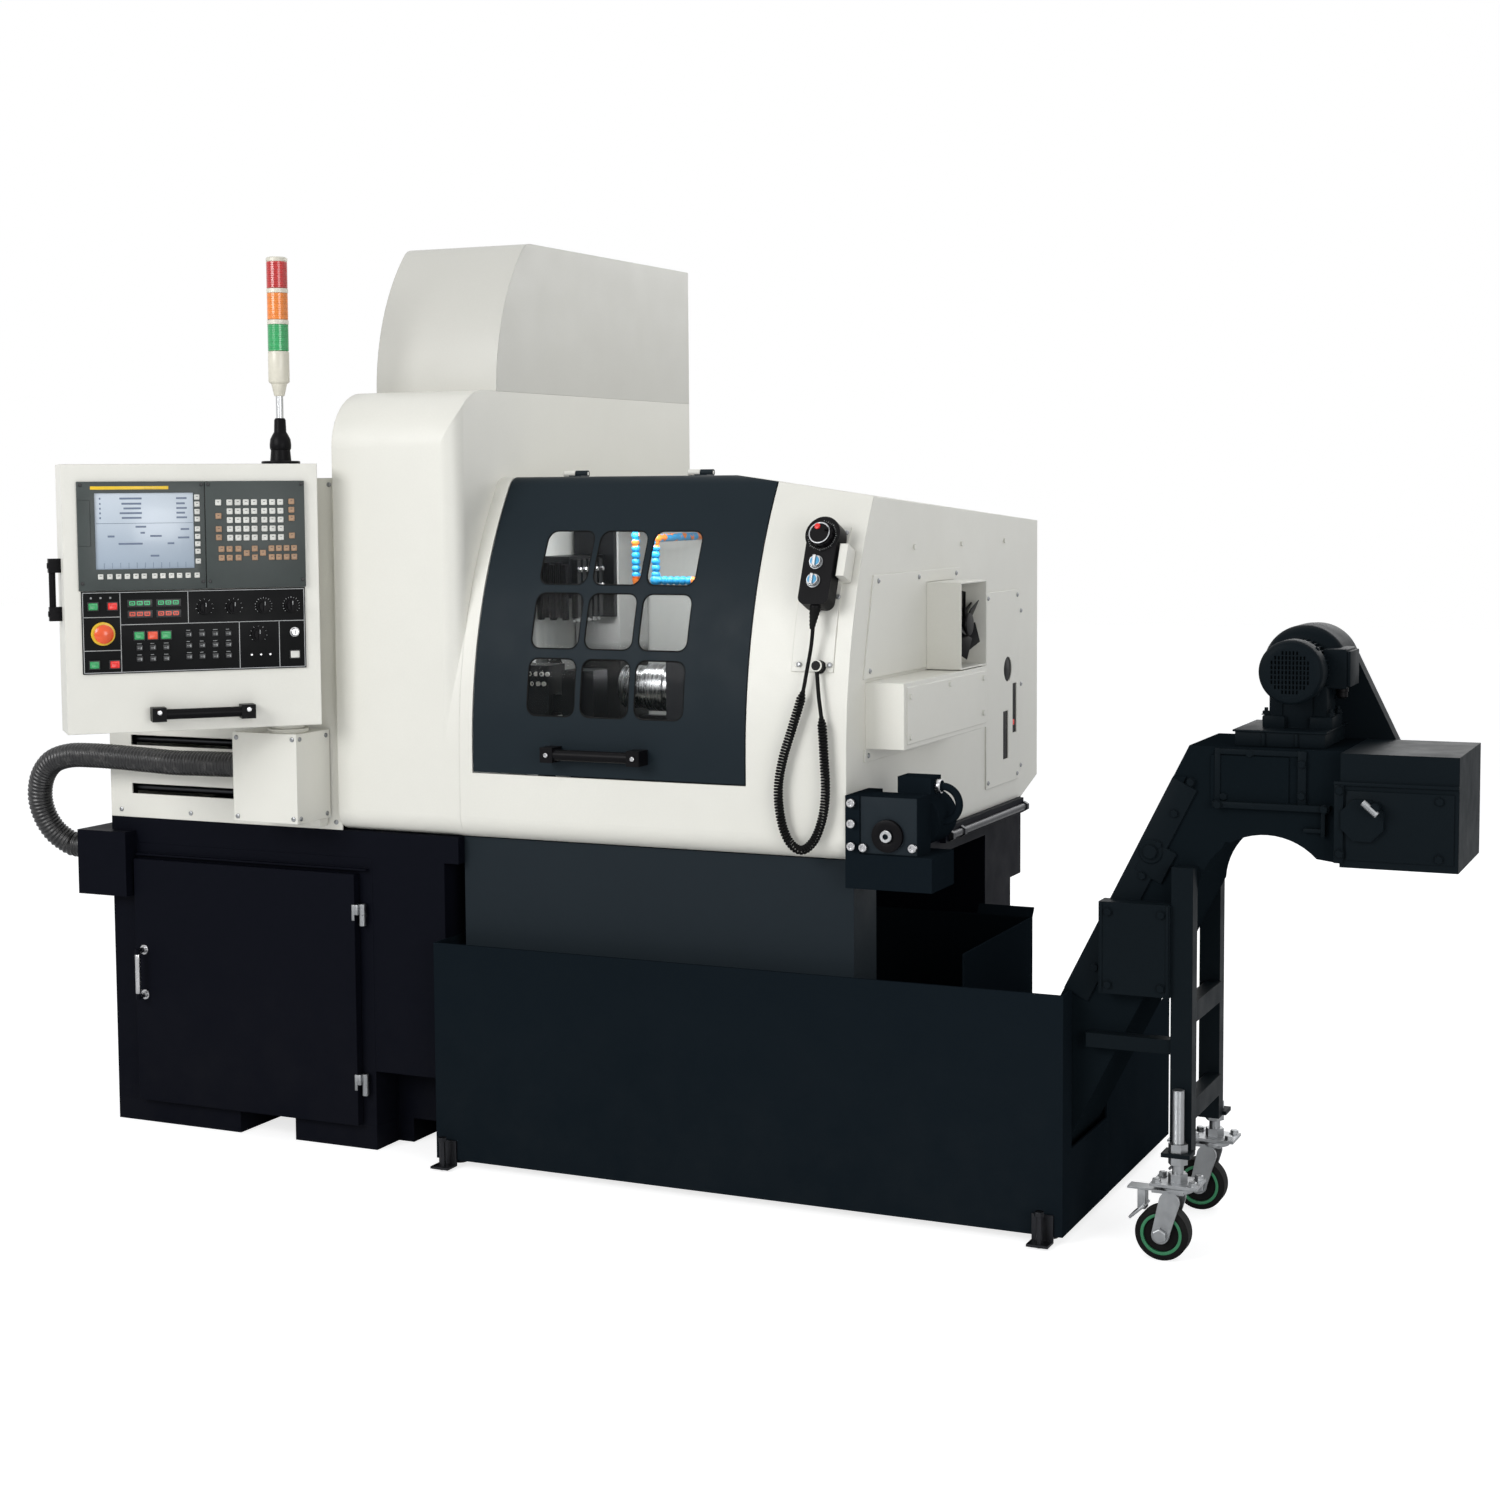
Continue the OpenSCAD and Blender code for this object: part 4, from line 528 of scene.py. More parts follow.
def screen(name):
    """Lit display: pale blue-grey, paler at the top, with a fine dot grid."""
    f = Finish(name)
    dots = f.node("ShaderNodeTexVoronoi", {}, {"Vector": f.place, "Scale": 900.0})
    rise = f.ramp(f.height(), 1.32, 1.48)
    shade = f.mix(rise, (0.30, 0.36, 0.43, 1.0), (0.52, 0.57, 0.62, 1.0))
    shade = f.mix(f.ramp(dots, 0.1, 0.6, 0.0, 0.12), shade, (0.2, 0.28, 0.4, 1.0))
    f.set(Base_Color=shade, Roughness=0.18, Emission_Color=shade, Emission_Strength=0.18)
    return f.material


def hose_finish(name):
    """Black convoluted hose: worn patches are glossier and are painted lighter, a painted
    highlight.
    """
    f = Finish(name)
    worn = f.noise(55.0, 5.0, 0.65)
    fine = f.noise(600.0, 2.0)
    # Lighter colour in the worn patches is a painted highlight, not a colour of the hose
    glint = f.ramp(worn, 0.52, 0.72)
    shade = f.mix(glint, (0.010, 0.010, 0.011, 1.0), (0.055, 0.053, 0.052, 1.0))
    f.set(Base_Color=shade, Roughness=f.ramp(worn, 0.3, 0.7, 0.42, 0.22))
    f.set(Normal=f.bump(fine, 0.15, 0.0004))
    return f.material


def coolant_finish(name):
    """Segmented coolant hose: blue links with orange ones at the joints and nozzles."""
    f = Finish(name)
    across = f.node("ShaderNodeSeparateXYZ", {}, {0: f.place}, 0)
    up = f.height()
    tip = (across < (CORNER.x + 1.24)) * (up < 1.285)
    end = across > (CORNER.x + 1.366)
    top = (up > 1.352) * f.ramp(f.noise(34.0, 1.0), 0.50, 0.52)
    mask = f.node("ShaderNodeClamp", {}, {0: tip + end + top})
    shade = f.mix(mask, (0.02, 0.30, 0.62, 1.0), (0.86, 0.22, 0.02, 1.0))
    worn = f.noise(40.0, 3.0)
    shade = f.mix(f.ramp(worn, 0.4, 0.8, 0.0, 0.25), shade, (0.01, 0.10, 0.2, 1.0))
    f.set(Base_Color=shade, Roughness=0.34)
    f.set(Normal=f.bump(f.noise(500.0, 1.0), 0.1, 0.0004))
    return f.material


def bed_finish(name):
    """Bed casting: pale enamel on the upright, near black below about 1.1 m."""
    f = Finish(name)
    # Near black below about 1.1 m, pale above
    dark_below_pale_above = f.ramp(f.height() + f.noise(12.0, 4.0) * 0.03, 1.10, 1.14)
    shade = f.mix(dark_below_pale_above, (0.014, 0.014, 0.015, 1.0), (0.50, 0.51, 0.50, 1.0))
    f.set(Base_Color=shade, Roughness=f.ramp(f.noise(30.0), 0.3, 0.7, 0.34, 0.5))
    f.set(Specular_IOR_Level=0.2)
    f.set(Normal=f.bump(f.noise(300.0, 2.0), 0.12, 0.0004, f.rounded(0.002)))
    return f.material


def make_finishes(chosen):
    """Every finish of the machine, by its name."""
    white, navy = tuple(chosen.cover_colour), tuple(chosen.base_colour)
    door, apron = tuple(chosen.door_colour), tuple(chosen.apron_colour)
    tank, conveyor = tuple(chosen.tank_colour), tuple(chosen.conveyor_colour)
    return {
        "cover": paint("cover_powder_coat", white, 0.42, 0.003, 0.02, 0.05, 0.07),
        # Upper cover: the covers' white darkened to 0.76 times, painted shade for the lesser light
        # on the upper cover; the same paint as the covers
        "upper": paint("upper_cover_white_painted_shade", tint(white, 0.76), 0.42, 0.003, 0.0, 0.05, 0.07),
        "pendant": paint("pendant_powder_coat", tint(white, 1.03), 0.4, 0.003, 0.0, 0.05, 0.07),
        "navy": paint("base_powder_coat", navy, 0.5, 0.0025, 0.01, 0.0, 0.10, 0.03),
        "door": paint("door_powder_coat", door, 0.42, 0.002, 0.0, 0.0, 0.10, 0.07),
        "apron": paint("apron_powder_coat", apron, 0.48, 0.002, 0.02, 0.0, 0.10, 0.05),
        "tank": paint("tank_powder_coat", tank, 0.5, 0.002, 0.01, 0.0, 0.10, 0.0),
        "conveyor": paint("conveyor_enamel", conveyor, 0.42, 0.002, 0.01, 0.0, 0.16, 0.025),
        "trough": paint("trough_enamel", conveyor, 0.5, 0.002, 0.0, 0.0, 0.16, 0.0),
        "bed": bed_finish("bed_casting"),
        "liner": paint("liner_enamel", (0.62, 0.64, 0.62), 0.35, 0.002, 0.0),
        "gear": paint("cabinet_gear_enamel", (0.48, 0.48, 0.45), 0.5, 0.002, 0.0),
        "cast": metal("machined_casting", (0.46, 0.47, 0.47), 0.36, (0.2, 1, 1), 180.0),
        "steel": metal("turned_steel", (0.52, 0.53, 0.54), 0.24, (1, 0.05, 0.05), 320.0),
        "bright": metal("bright_screw_steel", (0.50, 0.50, 0.51), 0.24),
        "zinc": metal("zinc_plate", (0.33, 0.34, 0.35), 0.34, (1, 1, 1), 70.0, 0.001, 0.4),
        "tool": metal(
            "black_oxide_steel", (0.035, 0.036, 0.04), 0.38, (1, 1, 0.1), 300.0, 0.0008, 0.2
        ),
        "black": plastic("black_moulding", (0.0042, 0.0040, 0.0048), 0.36, sheen=0.08),
        "rubber": plastic("black_rubber", (0.006, 0.006, 0.006), 0.62, 300.0, 0.25, sheen=0.08),
        "grey": plastic("control_grey_moulding", (0.032, 0.042, 0.040), 0.44),
        "panel": plastic(
            "control_panel_foil", (0.0055, 0.0058, 0.0062), 0.4, 900.0, 0.08, sheen=0.08
        ),
        "line": plastic("panel_line_print", (0.42, 0.43, 0.43), 0.5, 900.0, 0.05),
        "key_white": plastic("pale_key", (0.66, 0.66, 0.62), 0.4, 700.0, 0.1),
        "key_tan": plastic("tan_key", (0.36, 0.22, 0.13), 0.4, 700.0, 0.1),
        "key_dark": plastic("dark_key", (0.012, 0.013, 0.014), 0.36, 700.0, 0.1),
        "key_mark": plastic("key_mark_print", (0.30, 0.31, 0.31), 0.5, 900.0, 0.05),
        "green_key": lit("green_key_cap", (0.02, 0.26, 0.08), 0.25),
        "red_key": lit("red_key_cap", (0.62, 0.015, 0.012), 0.25),
        "orange_key": lit("orange_red_key_cap", (0.62, 0.06, 0.02), 0.25),
        "green_led": lit("green_segments", (0.02, 0.34, 0.12), 0.5),
        "red_led": lit("red_segments", (0.52, 0.05, 0.02), 0.5),
        "yellow": plastic("yellow_ring_moulding", (0.80, 0.52, 0.02), 0.3, 700.0, 0.08),
        "stop": plastic(
            "stop_button_moulding", (0.78, 0.085, 0.012), 0.22, 700.0, 0.05, 0.0009, 0.4
        ),
        "blue_cap": plastic("blue_selector_cap", (0.08, 0.36, 0.62), 0.3, 700.0, 0.08),
        "white_plastic": plastic(
            "ivory_moulding", (0.66, 0.63, 0.53), 0.32, 700.0, 0.06, 0.0009, 0.2
        ),
        "green_lens": lens("green_lens", (0.02, 0.33, 0.10)),
        "amber_lens": lens("amber_lens", (0.78, 0.22, 0.02)),
        "red_lens": lens("red_lens", (0.48, 0.012, 0.012)),
        "wheel_green": plastic("green_wheel_rim", (0.02, 0.17, 0.07), 0.4),
        "pane": pane("clear_window"),
        "screen": screen("lit_display"),
        "screen_mark": plastic("display_rows", (0.10, 0.14, 0.22), 0.3, 900.0, 0.02),
        "hose": hose_finish("convoluted_hose"),
        "coolant": coolant_finish("coolant_links"),
    }


NODE_FINISH = {
    # The upper cover gets the covers' white with painted shade
    "upper": "upper_cover",
    "cover": "left_cover column_cover enclosure handwheel_plate side_covers fan_duct carriage",
    "pendant": "pendant_box",
    "navy": "machine_bed cabinet_shell cable_box cabinet_door",
    "gear": "cabinet_gear",
    "zinc": "caster_stems caster_fork_1 caster_fork_2",
    "tool": "carriage_rail tool_blocks gang_slide sub_headstock levelling_feet",
    "liner": "chamber_liner",
    "cast": "headstock",
    "bed": "spindle_bed",
    "trough": "conveyor_belt conveyor_trough",
    "steel": "guide_bush main_spindle sub_spindle selector_1 selector_2",
    "coolant": "coolant_hoses",
    "black": "handwheel_body pendant_handles door_handle handwheel_dial fan_rotor "
    "knob_1 knob_2 knob_3 knob_4 knob_5",
    "conveyor": "conveyor_head conveyor_frame conveyor_motor chain_guard",
    "apron": "apron",
    "tank": "tank feeder_drive",
    "grey": "display_unit",
    "panel": "operator_panel",
    "white_plastic": "signal_tower",
    "stop": "stop_button",
    "door": "door_panel",
    "pane": "door_windows",
    "rubber": "caster_wheel_1 caster_wheel_2",
    "hose": "cable_hose handwheel_cord",
}


def colour_setting(name, text, default):
    return bpy.props.FloatVectorProperty(
        name=name, description=text, subtype="COLOR", size=3, default=default
    )


def length_setting(name, text, default):
    return bpy.props.FloatProperty(name=name, description=text, default=default, unit="LENGTH")


class LatheFinishes(bpy.types.PropertyGroup):
    """Colours that a user would change."""

    cover_colour: colour_setting("Covers", "Paint of the covers", (0.72, 0.71, 0.65))
    base_colour: colour_setting("Base", "Paint of the base and cabinet", (0.0036, 0.0042, 0.0075))
    door_colour: colour_setting("Door", "Paint of the lift-up door", (0.0115, 0.0180, 0.0230))
    apron_colour: colour_setting("Apron", "Paint of the apron plate", (0.0155, 0.0215, 0.0265))
    tank_colour: colour_setting("Tank", "Paint of the coolant tank", (0.0068, 0.0105, 0.0140))
    conveyor_colour: colour_setting(
        "Conveyor", "Paint of the chip conveyor", (0.0055, 0.0085, 0.0108)
    )


class LatheFittings(bpy.types.PropertyGroup):
    """Sizes of fittings that a user would change."""

    hose_pitch: length_setting("Hose pitch", "Distance between the hose's ridges", 0.0095)
    coil_pitch: length_setting("Coil pitch", "Distance between turns of the curly cord", 0.0062)
    screw_radius: length_setting("Screw heads", "Radius of the cover screws' heads", 0.0055)


# Camera: turn, pitch and roll in degrees, place in machine millimetres
CAMERA_TURN, CAMERA_PITCH, CAMERA_ROLL = 24.5, 4.28, -0.39
CAMERA_PLACE = (3676.44, -4433.85, 1479.26)
CAMERA_LENS, CAMERA_SHIFT = 57.008, -0.0552

# Floor: how bright it glows where it is looked at, and how much of that is mixed in
FLOOR_GLOW, FLOOR_SHARE = 1.91, 0.40

# Lamps: name, place, target, size and power
MIDDLE = (0, 0, 0.9)
LAMPS = (
    ("key_softbox", (-2.2, -5.6, 3.4), MIDDLE, (3.0, 2.4), 190),
    ("fill_softbox", (4.6, -4.0, 1.7), MIDDLE, (2.6, 2.4), 84),
    ("top_softbox", (0.2, 0.4, 4.8), MIDDLE, (4.0, 3.0), 36),
    ("back_softbox", (1.5, 4.5, 3.2), MIDDLE, (4.0, 2.0), 70),
    ("work_lamp", spot(1330, 262, 1440), spot(1330, 420, 1000), (0.5, 0.06), 2.6),
)


class LATHE_OT_stage(bpy.types.Operator):
    """Camera, floor, lamps and world"""

    bl_idname = "lathe.stage"
    bl_label = "Stage"

    def execute(self, context):
        scene = context.scene
        scene.view_settings.view_transform = "Standard"
        self.camera(scene)
        self.floor()
        for row in LAMPS:
            self.lamp(scene, *row)
        self.world(scene)
        return {"FINISHED"}

    def camera(self, scene):
        turn, pitch, roll = map(math.radians, (CAMERA_TURN, CAMERA_PITCH, CAMERA_ROLL))
        right = Vector((math.cos(turn), math.sin(turn), 0))
        ahead = Vector((-math.sin(turn), math.cos(turn), 0))
        up = Vector((0, 0, 1))
        look = ahead * math.cos(pitch) - up * math.sin(pitch)
        above = up * math.cos(pitch) + ahead * math.sin(pitch)
        side = right * math.cos(roll) + above * math.sin(roll)
        above = above * math.cos(roll) - right * math.sin(roll)
        data = bpy.data.cameras.new("photo_camera")
        data.sensor_width = 36.0
        data.lens = CAMERA_LENS
        data.shift_y = CAMERA_SHIFT
        data.clip_end = 60.0
        camera = bpy.data.objects.new("photo_camera", data)
        scene.collection.objects.link(camera)
        turned_to = Matrix((side, above, -look)).transposed().to_4x4()
        camera.matrix_world = at(*CAMERA_PLACE, turned_to)
        scene.camera = camera

    def floor(self):
        clear_selection()
        bpy.ops.mesh.primitive_plane_add(size=40, location=(0, 0, -0.0006))
        bpy.ops.object.transform_apply(location=True)
        ground = named("studio_floor")
        f = Finish("studio_floor")
        shade = f.mix(f.ramp(f.noise(0.8), 0.3, 0.7), (0.86, 0.86, 0.86, 1), (0.9, 0.9, 0.9, 1))
        f.set(Base_Color=shade, Roughness=0.8)
        path = f.tree.nodes.new("ShaderNodeLightPath").outputs
        seen = Tap(f, path["Is Camera Ray"]) + Tap(f, path["Is Transmission Ray"])
        glow = f.node("ShaderNodeEmission", {}, {0: (1, 1, 1, 1), 1: FLOOR_GLOW})
        share = f.node("ShaderNodeClamp", {}, {0: seen}) * FLOOR_SHARE
        sockets = {0: share, 1: Tap(f, f.shader.outputs[0]), 2: glow}
        f.feed(f.output, 0, f.node("ShaderNodeMixShader", {}, sockets))
        ground.data.materials.append(f.material)

    def lamp(self, scene, name, place, target, size, power):
        data = bpy.data.lights.new(name, "AREA")
        data.shape = "RECTANGLE"
        data.size, data.size_y = size
        data.energy = power
        lamp = bpy.data.objects.new(name, data)
        scene.collection.objects.link(lamp)
        lamp.location = place
        aim = (Vector(target) - Vector(place)).to_track_quat("-Z", "Y")
        lamp.rotation_euler = aim.to_euler()

    def world(self, scene):
        world = bpy.data.worlds.new("studio")
        world.use_nodes = True
        scene.world = world
        tree = world.node_tree
        tree.nodes.clear()
        path = tree.nodes.new("ShaderNodeLightPath").outputs
        total = path["Is Camera Ray"]
        for name in ("Is Glossy Ray", "Is Transmission Ray"):
            add = tree.nodes.new("ShaderNodeMath")
            add.operation = "ADD"
            add.use_clamp = True
            tree.links.new(total, add.inputs[0])
            tree.links.new(path[name], add.inputs[1])
            total = add.outputs[0]
        soft = tree.nodes.new("ShaderNodeBackground")
        soft.inputs[0].default_value = (0.93, 0.96, 1.0, 1)
        soft.inputs[1].default_value = 0.42
        white = tree.nodes.new("ShaderNodeBackground")
        white.inputs[0].default_value = (1, 1, 1, 1)
        mix = tree.nodes.new("ShaderNodeMixShader")
        out = tree.nodes.new("ShaderNodeOutputWorld")
        for k, socket in enumerate((total, soft.outputs[0], white.outputs[0])):
            tree.links.new(socket, mix.inputs[k])
        tree.links.new(mix.outputs[0], out.inputs[0])


class LATHE_OT_finishes(bpy.types.Operator):
    """Finishes on the carried-over nodes"""

    bl_idname = "lathe.finishes"
    bl_label = "Finishes"

    def execute(self, context):
        FINISHES.update(make_finishes(context.scene.lathe_finishes))
        for finish, names in NODE_FINISH.items():
            for name in names.split():
                node = NODES[name]
                node.data.materials.clear()
                node.data.materials.append(FINISHES[finish])
        return {"FINISHED"}


# Routes of the two cords, in machine millimetres
HOSE_ROUTE = (
    (449, -70, 868), (400, -70, 868), (320, -70, 867), (240, -70, 866), (160, -70, 869),
    (80, -70, 872), (6, -70, 873), (-60, -69, 870), (-115, -66, 853), (-151, -61, 816),
    (-166, -54, 768), (-162, -44, 722), (-143, -31, 682), (-112, -16, 655), (-90, -12, 650),
    (-70, -12, 650),
)
CORD_ROUTE = (
    (1803, -11, 1220), (1800, -16, 1166), (1791, -20, 1110), (1784, -26, 1066), (1765, -32, 1000),
    (1743, -34, 930), (1733, -34, 870), (1738, -34, 810), (1755, -34, 765), (1783, -34, 747),
    (1811, -34, 768), (1830, -34, 815), (1837, -34, 870), (1834, -34, 940), (1828, -30, 1008),
    (1819, -24, 1060), (1811, -14, 1110),
)

# Hose: points per ridge, radius in the grooves, height of the ridges
HOSE_STEPS, HOSE_GROOVE, HOSE_RIDGE = 6, 0.0262, 0.0026

# Curly cord: points per turn, straight ends, points over which the coil starts, coil and wire radii
COIL_STEPS, COIL_IN, COIL_OUT, COIL_EASE = 14, 0.150, 0.092, 40
COIL_R, WIRE_R, WIRE_MORE = 0.0074, 0.0026, 0.0016


class LATHE_OT_cable_hose(bpy.types.Operator):
    """Convoluted hose from the pendant carriage to the cable box"""

    bl_idname = "lathe.cable_hose"
    bl_label = "Cable hose"

    def execute(self, context):
        pitch = context.scene.lathe_fittings.hose_pitch
        line = eased([spot(*p) for p in HOSE_ROUTE], pitch / HOSE_STEPS)
        radii = []
        for i in range(len(line)):
            wave = math.cos(2 * math.pi * (i % HOSE_STEPS) / HOSE_STEPS)
            radii.append(HOSE_GROOVE + HOSE_RIDGE * (0.5 + 0.5 * wave))
        hose = dressed(swept("cable_hose_convoluted", line, radii, 28), "hose")
        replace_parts(hose, "cable_hose")
        tuple(line[-1])
        run_of(line)
        [tuple(p) for p in reversed(line)]
        hose.parent = None
        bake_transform(hose)
        return {"FINISHED"}


class LATHE_OT_handwheel_cord(bpy.types.Operator):
    """Curly cord of the hand-wheel unit, looped back to its grommet"""

    bl_idname = "lathe.handwheel_cord"
    bl_label = "Hand-wheel cord"

    def execute(self, context):
        step = context.scene.lathe_fittings.coil_pitch / COIL_STEPS
        line = eased([spot(*p) for p in CORD_ROUTE], step)
        last = len(line) - 1
        first_turn, last_turn = int(COIL_IN / step), len(line) - int(COIL_OUT / step)
        centres, radii = [], []
        for i, (centre, side, up) in enumerate(framed(line)):
            grow = min(1.0, max(0.0, min(i - first_turn, last_turn - i) / COIL_EASE))
            if grow == 0.0 and i % 3 and i not in (0, last):
                continue
            centres.append(around(centre, side, up, COIL_R * grow, 2 * math.pi * i / COIL_STEPS))
            radii.append(WIRE_R + WIRE_MORE * (1 - grow))
        cord = swept("handwheel_curly_cord", centres, radii, 8)
        dressed(cord, "rubber", "base", "hose_black")
        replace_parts(cord, "handwheel_cord")
        middle = line[::7] + [line[-1]]
        tuple(middle[-1])
        run_of(middle)
        [tuple(p) for p in reversed(middle)]
        return {"FINISHED"}


def key_cap(wide, tall, rise, dish):
    """A key standing out towards -Y: rounded, with a slightly sunk top, in millimetres."""
    short = min(wide, tall)
    cap = small("key", (-wide / 2, -rise, -tall / 2), (wide / 2, 0, tall / 2), short * 0.12)
    pick(cap)
    bpy.ops.object.mode_set(mode="EDIT")
    bpy.ops.mesh.select_all(action="DESELECT")
    bpy.ops.object.mode_set(mode="OBJECT")
    for face in cap.data.polygons:
        face.select = face.normal.y < -0.99 and face.area > wide * tall * 0.3e-6
    bpy.ops.object.mode_set(mode="EDIT")
    bpy.ops.mesh.inset(thickness=short * 0.14 / 1000, depth=-dish / 1000)
    bpy.ops.object.mode_set(mode="OBJECT")
    return cap


class PendantFace:
    """Pieces on the pendant's face: along it, out of it and up, in millimetres."""

    origin = (0, 0, 0)
    slot = ""

    def face(self, u, out, z):
        left, rise, low = self.origin
        return on_face(u + left, out + rise, z + low)

    def stand(self, u, out, z):
        return Matrix.Translation(self.face(u, out, z)) @ FRONT

    def slab(self, name, low, high, edge=0.0):
        return block(name, self.face(*low), self.face(*high), edge)

    def put(self, piece, finish):
        return dressed(settled(piece, PENDANT), finish, "pendant", self.slot)

    def spread(self, piece, places, out, name, finish):
        moves = [Matrix.Translation(self.face(u, out, z)) for u, z in places]
        return self.put(copies(piece, moves, name), finish)


SOFT_KEYS = [(249, z) for z in (188, 173, 157, 141, 120, 104, 88, 72, 51)] + [
    (u, 21) for u in (45, 64, 82, 100, 118, 135, 157, 174, 192, 209, 227, 246)
]
LETTER_KEYS = [
    (u, z) for z in (176, 157, 138, 119, 100) for u in (318, 335.5, 353, 370.5, 392, 409.5, 427)
] + [(294, 176)]
TAN_KEYS = [(294, 147), (294, 119), (294, 101), (451, 177), (451, 159), (451, 141), (451, 103)] + [
    (u, z) for z in (76, 57) for u in (299, 316, 335, 370, 406, 422, 438.5, 455)
] + [(352.5, 66.5), (387.5, 66.5)]


class LATHE_OT_display(PendantFace, bpy.types.Operator):
    """Display unit: bezel, lit screen, soft keys and key pad"""

    bl_idname = "lathe.display"
    bl_label = "Display unit"

    origin = (0, 0, 1283.0)
    slot = "panel_grey"

    def execute(self, context):
        left = self.slab("display_bezel", (0, 8, -9), (265.4, 0, 222), 1.5)
        for low, high in (
            ((36, 12, 36), (242, 4, 198)), ((-1, 12, 85), (27, 7.2, 86.2)),
            ((-1, 12, 182), (27, 7.2, 183.2)), ((26, 12, 85), (27.2, 7.2, 183.2)),
        ):
            carved(left, self.slab("cut", low, high))
        right = self.slab("key_bezel", (266.6, 8, -9), (480, 0, 222), 1.5)
        bezel = self.put(smoothed(joined([left, right], "display_bezel"), 30), "grey")
        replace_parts(bezel, "display_unit")
        glass = self.slab("display_screen", (36.2, 5.4, 36.2), (241.8, 3, 197.8), 0.6)
        self.put(glass, "screen")
        self.rows()
        self.put(self.slab("display_strip", (28, 8.7, 205), (190, 7, 212), 0.3), "yellow")
        for name, places, finish, wide in (
            ("display_soft_keys", SOFT_KEYS, "key_white", 11.2),
            ("display_letter_keys", LETTER_KEYS, "key_white", 12.8),
            ("display_tan_keys", TAN_KEYS, "key_tan", 12.8),
        ):
            self.spread(key_cap(wide, wide, 3.2, 0.5), places, 7.9, name, finish)
            mark = small("mark", (-2.2, -0.1, -0.5), (2.2, 0, 0.5))
            above = [(u, z + 1.6) for u, z in places]
            self.spread(mark, above, 10.75, name + "_marks", "key_dark")
        screw = turned("screw", ((0, 4.2), (1.2, 4.0), (1.8, 2.6)), 16)
        corners = [(u, z) for pair in ((7, 259), (273, 473)) for z in (7, 215) for u in pair]
        screws = copies(screw, [self.stand(u, 7.9, z) for u, z in corners], "display_screws")
        self.put(screws, "key_dark")
        return {"FINISHED"}

    def rows(self):
        bars = []
        for k, z in enumerate((184, 173, 163, 153, 143)):
            bars += [(46, 3, z), (88 + 4 * (k % 3), 46 - 5 * (k % 3), z)]
            bars.append((206, 22 - 4 * (k % 2), z))
        bars += [(120, 22, 124), (130, 9, 111), (62, 14, 104), (150, 24, 104), (214, 18, 118)]
        bars += [(208, 24, 100), (84, 50, 88), (186, 14, 88), (150, 18, 62)]
        spans = [(u, z, u + wide, z + 4) for u, wide, z in bars]
        spans += [(53 + 17 * k, 38, 53.7 + 17 * k, 50) for k in range(11)]
        spans.append((38, 133, 240, 133.8))
        made = [self.slab("row", (u, 5.6, z), (u1, 5.3, z1)) for u, z, u1, z1 in spans]
        self.put(joined(made, "display_rows"), "screen_mark")


# Operator panel: ends of the printed lines, bars of a digit, both as places and sizes
GROUP_LINES = (
    (3, 3, 471, 3), (3, 173, 471, 173), (3, 3, 3, 173), (471, 3, 471, 173), (80, 3, 80, 173),
    (3, 121, 80, 121), (3, 50, 80, 50), (80, 104, 471, 104), (222, 104, 222, 173),
    (330, 3, 330, 104), (416, 3, 416, 104),
)
LINE_HALF = 0.75
DIGIT_BARS = ((0, -4, 12, 1.8), (0, 3, 12, 1.8), (0, -4, 2, 8), (10, -4, 2, 8), (4, -0.6, 4, 1.6))


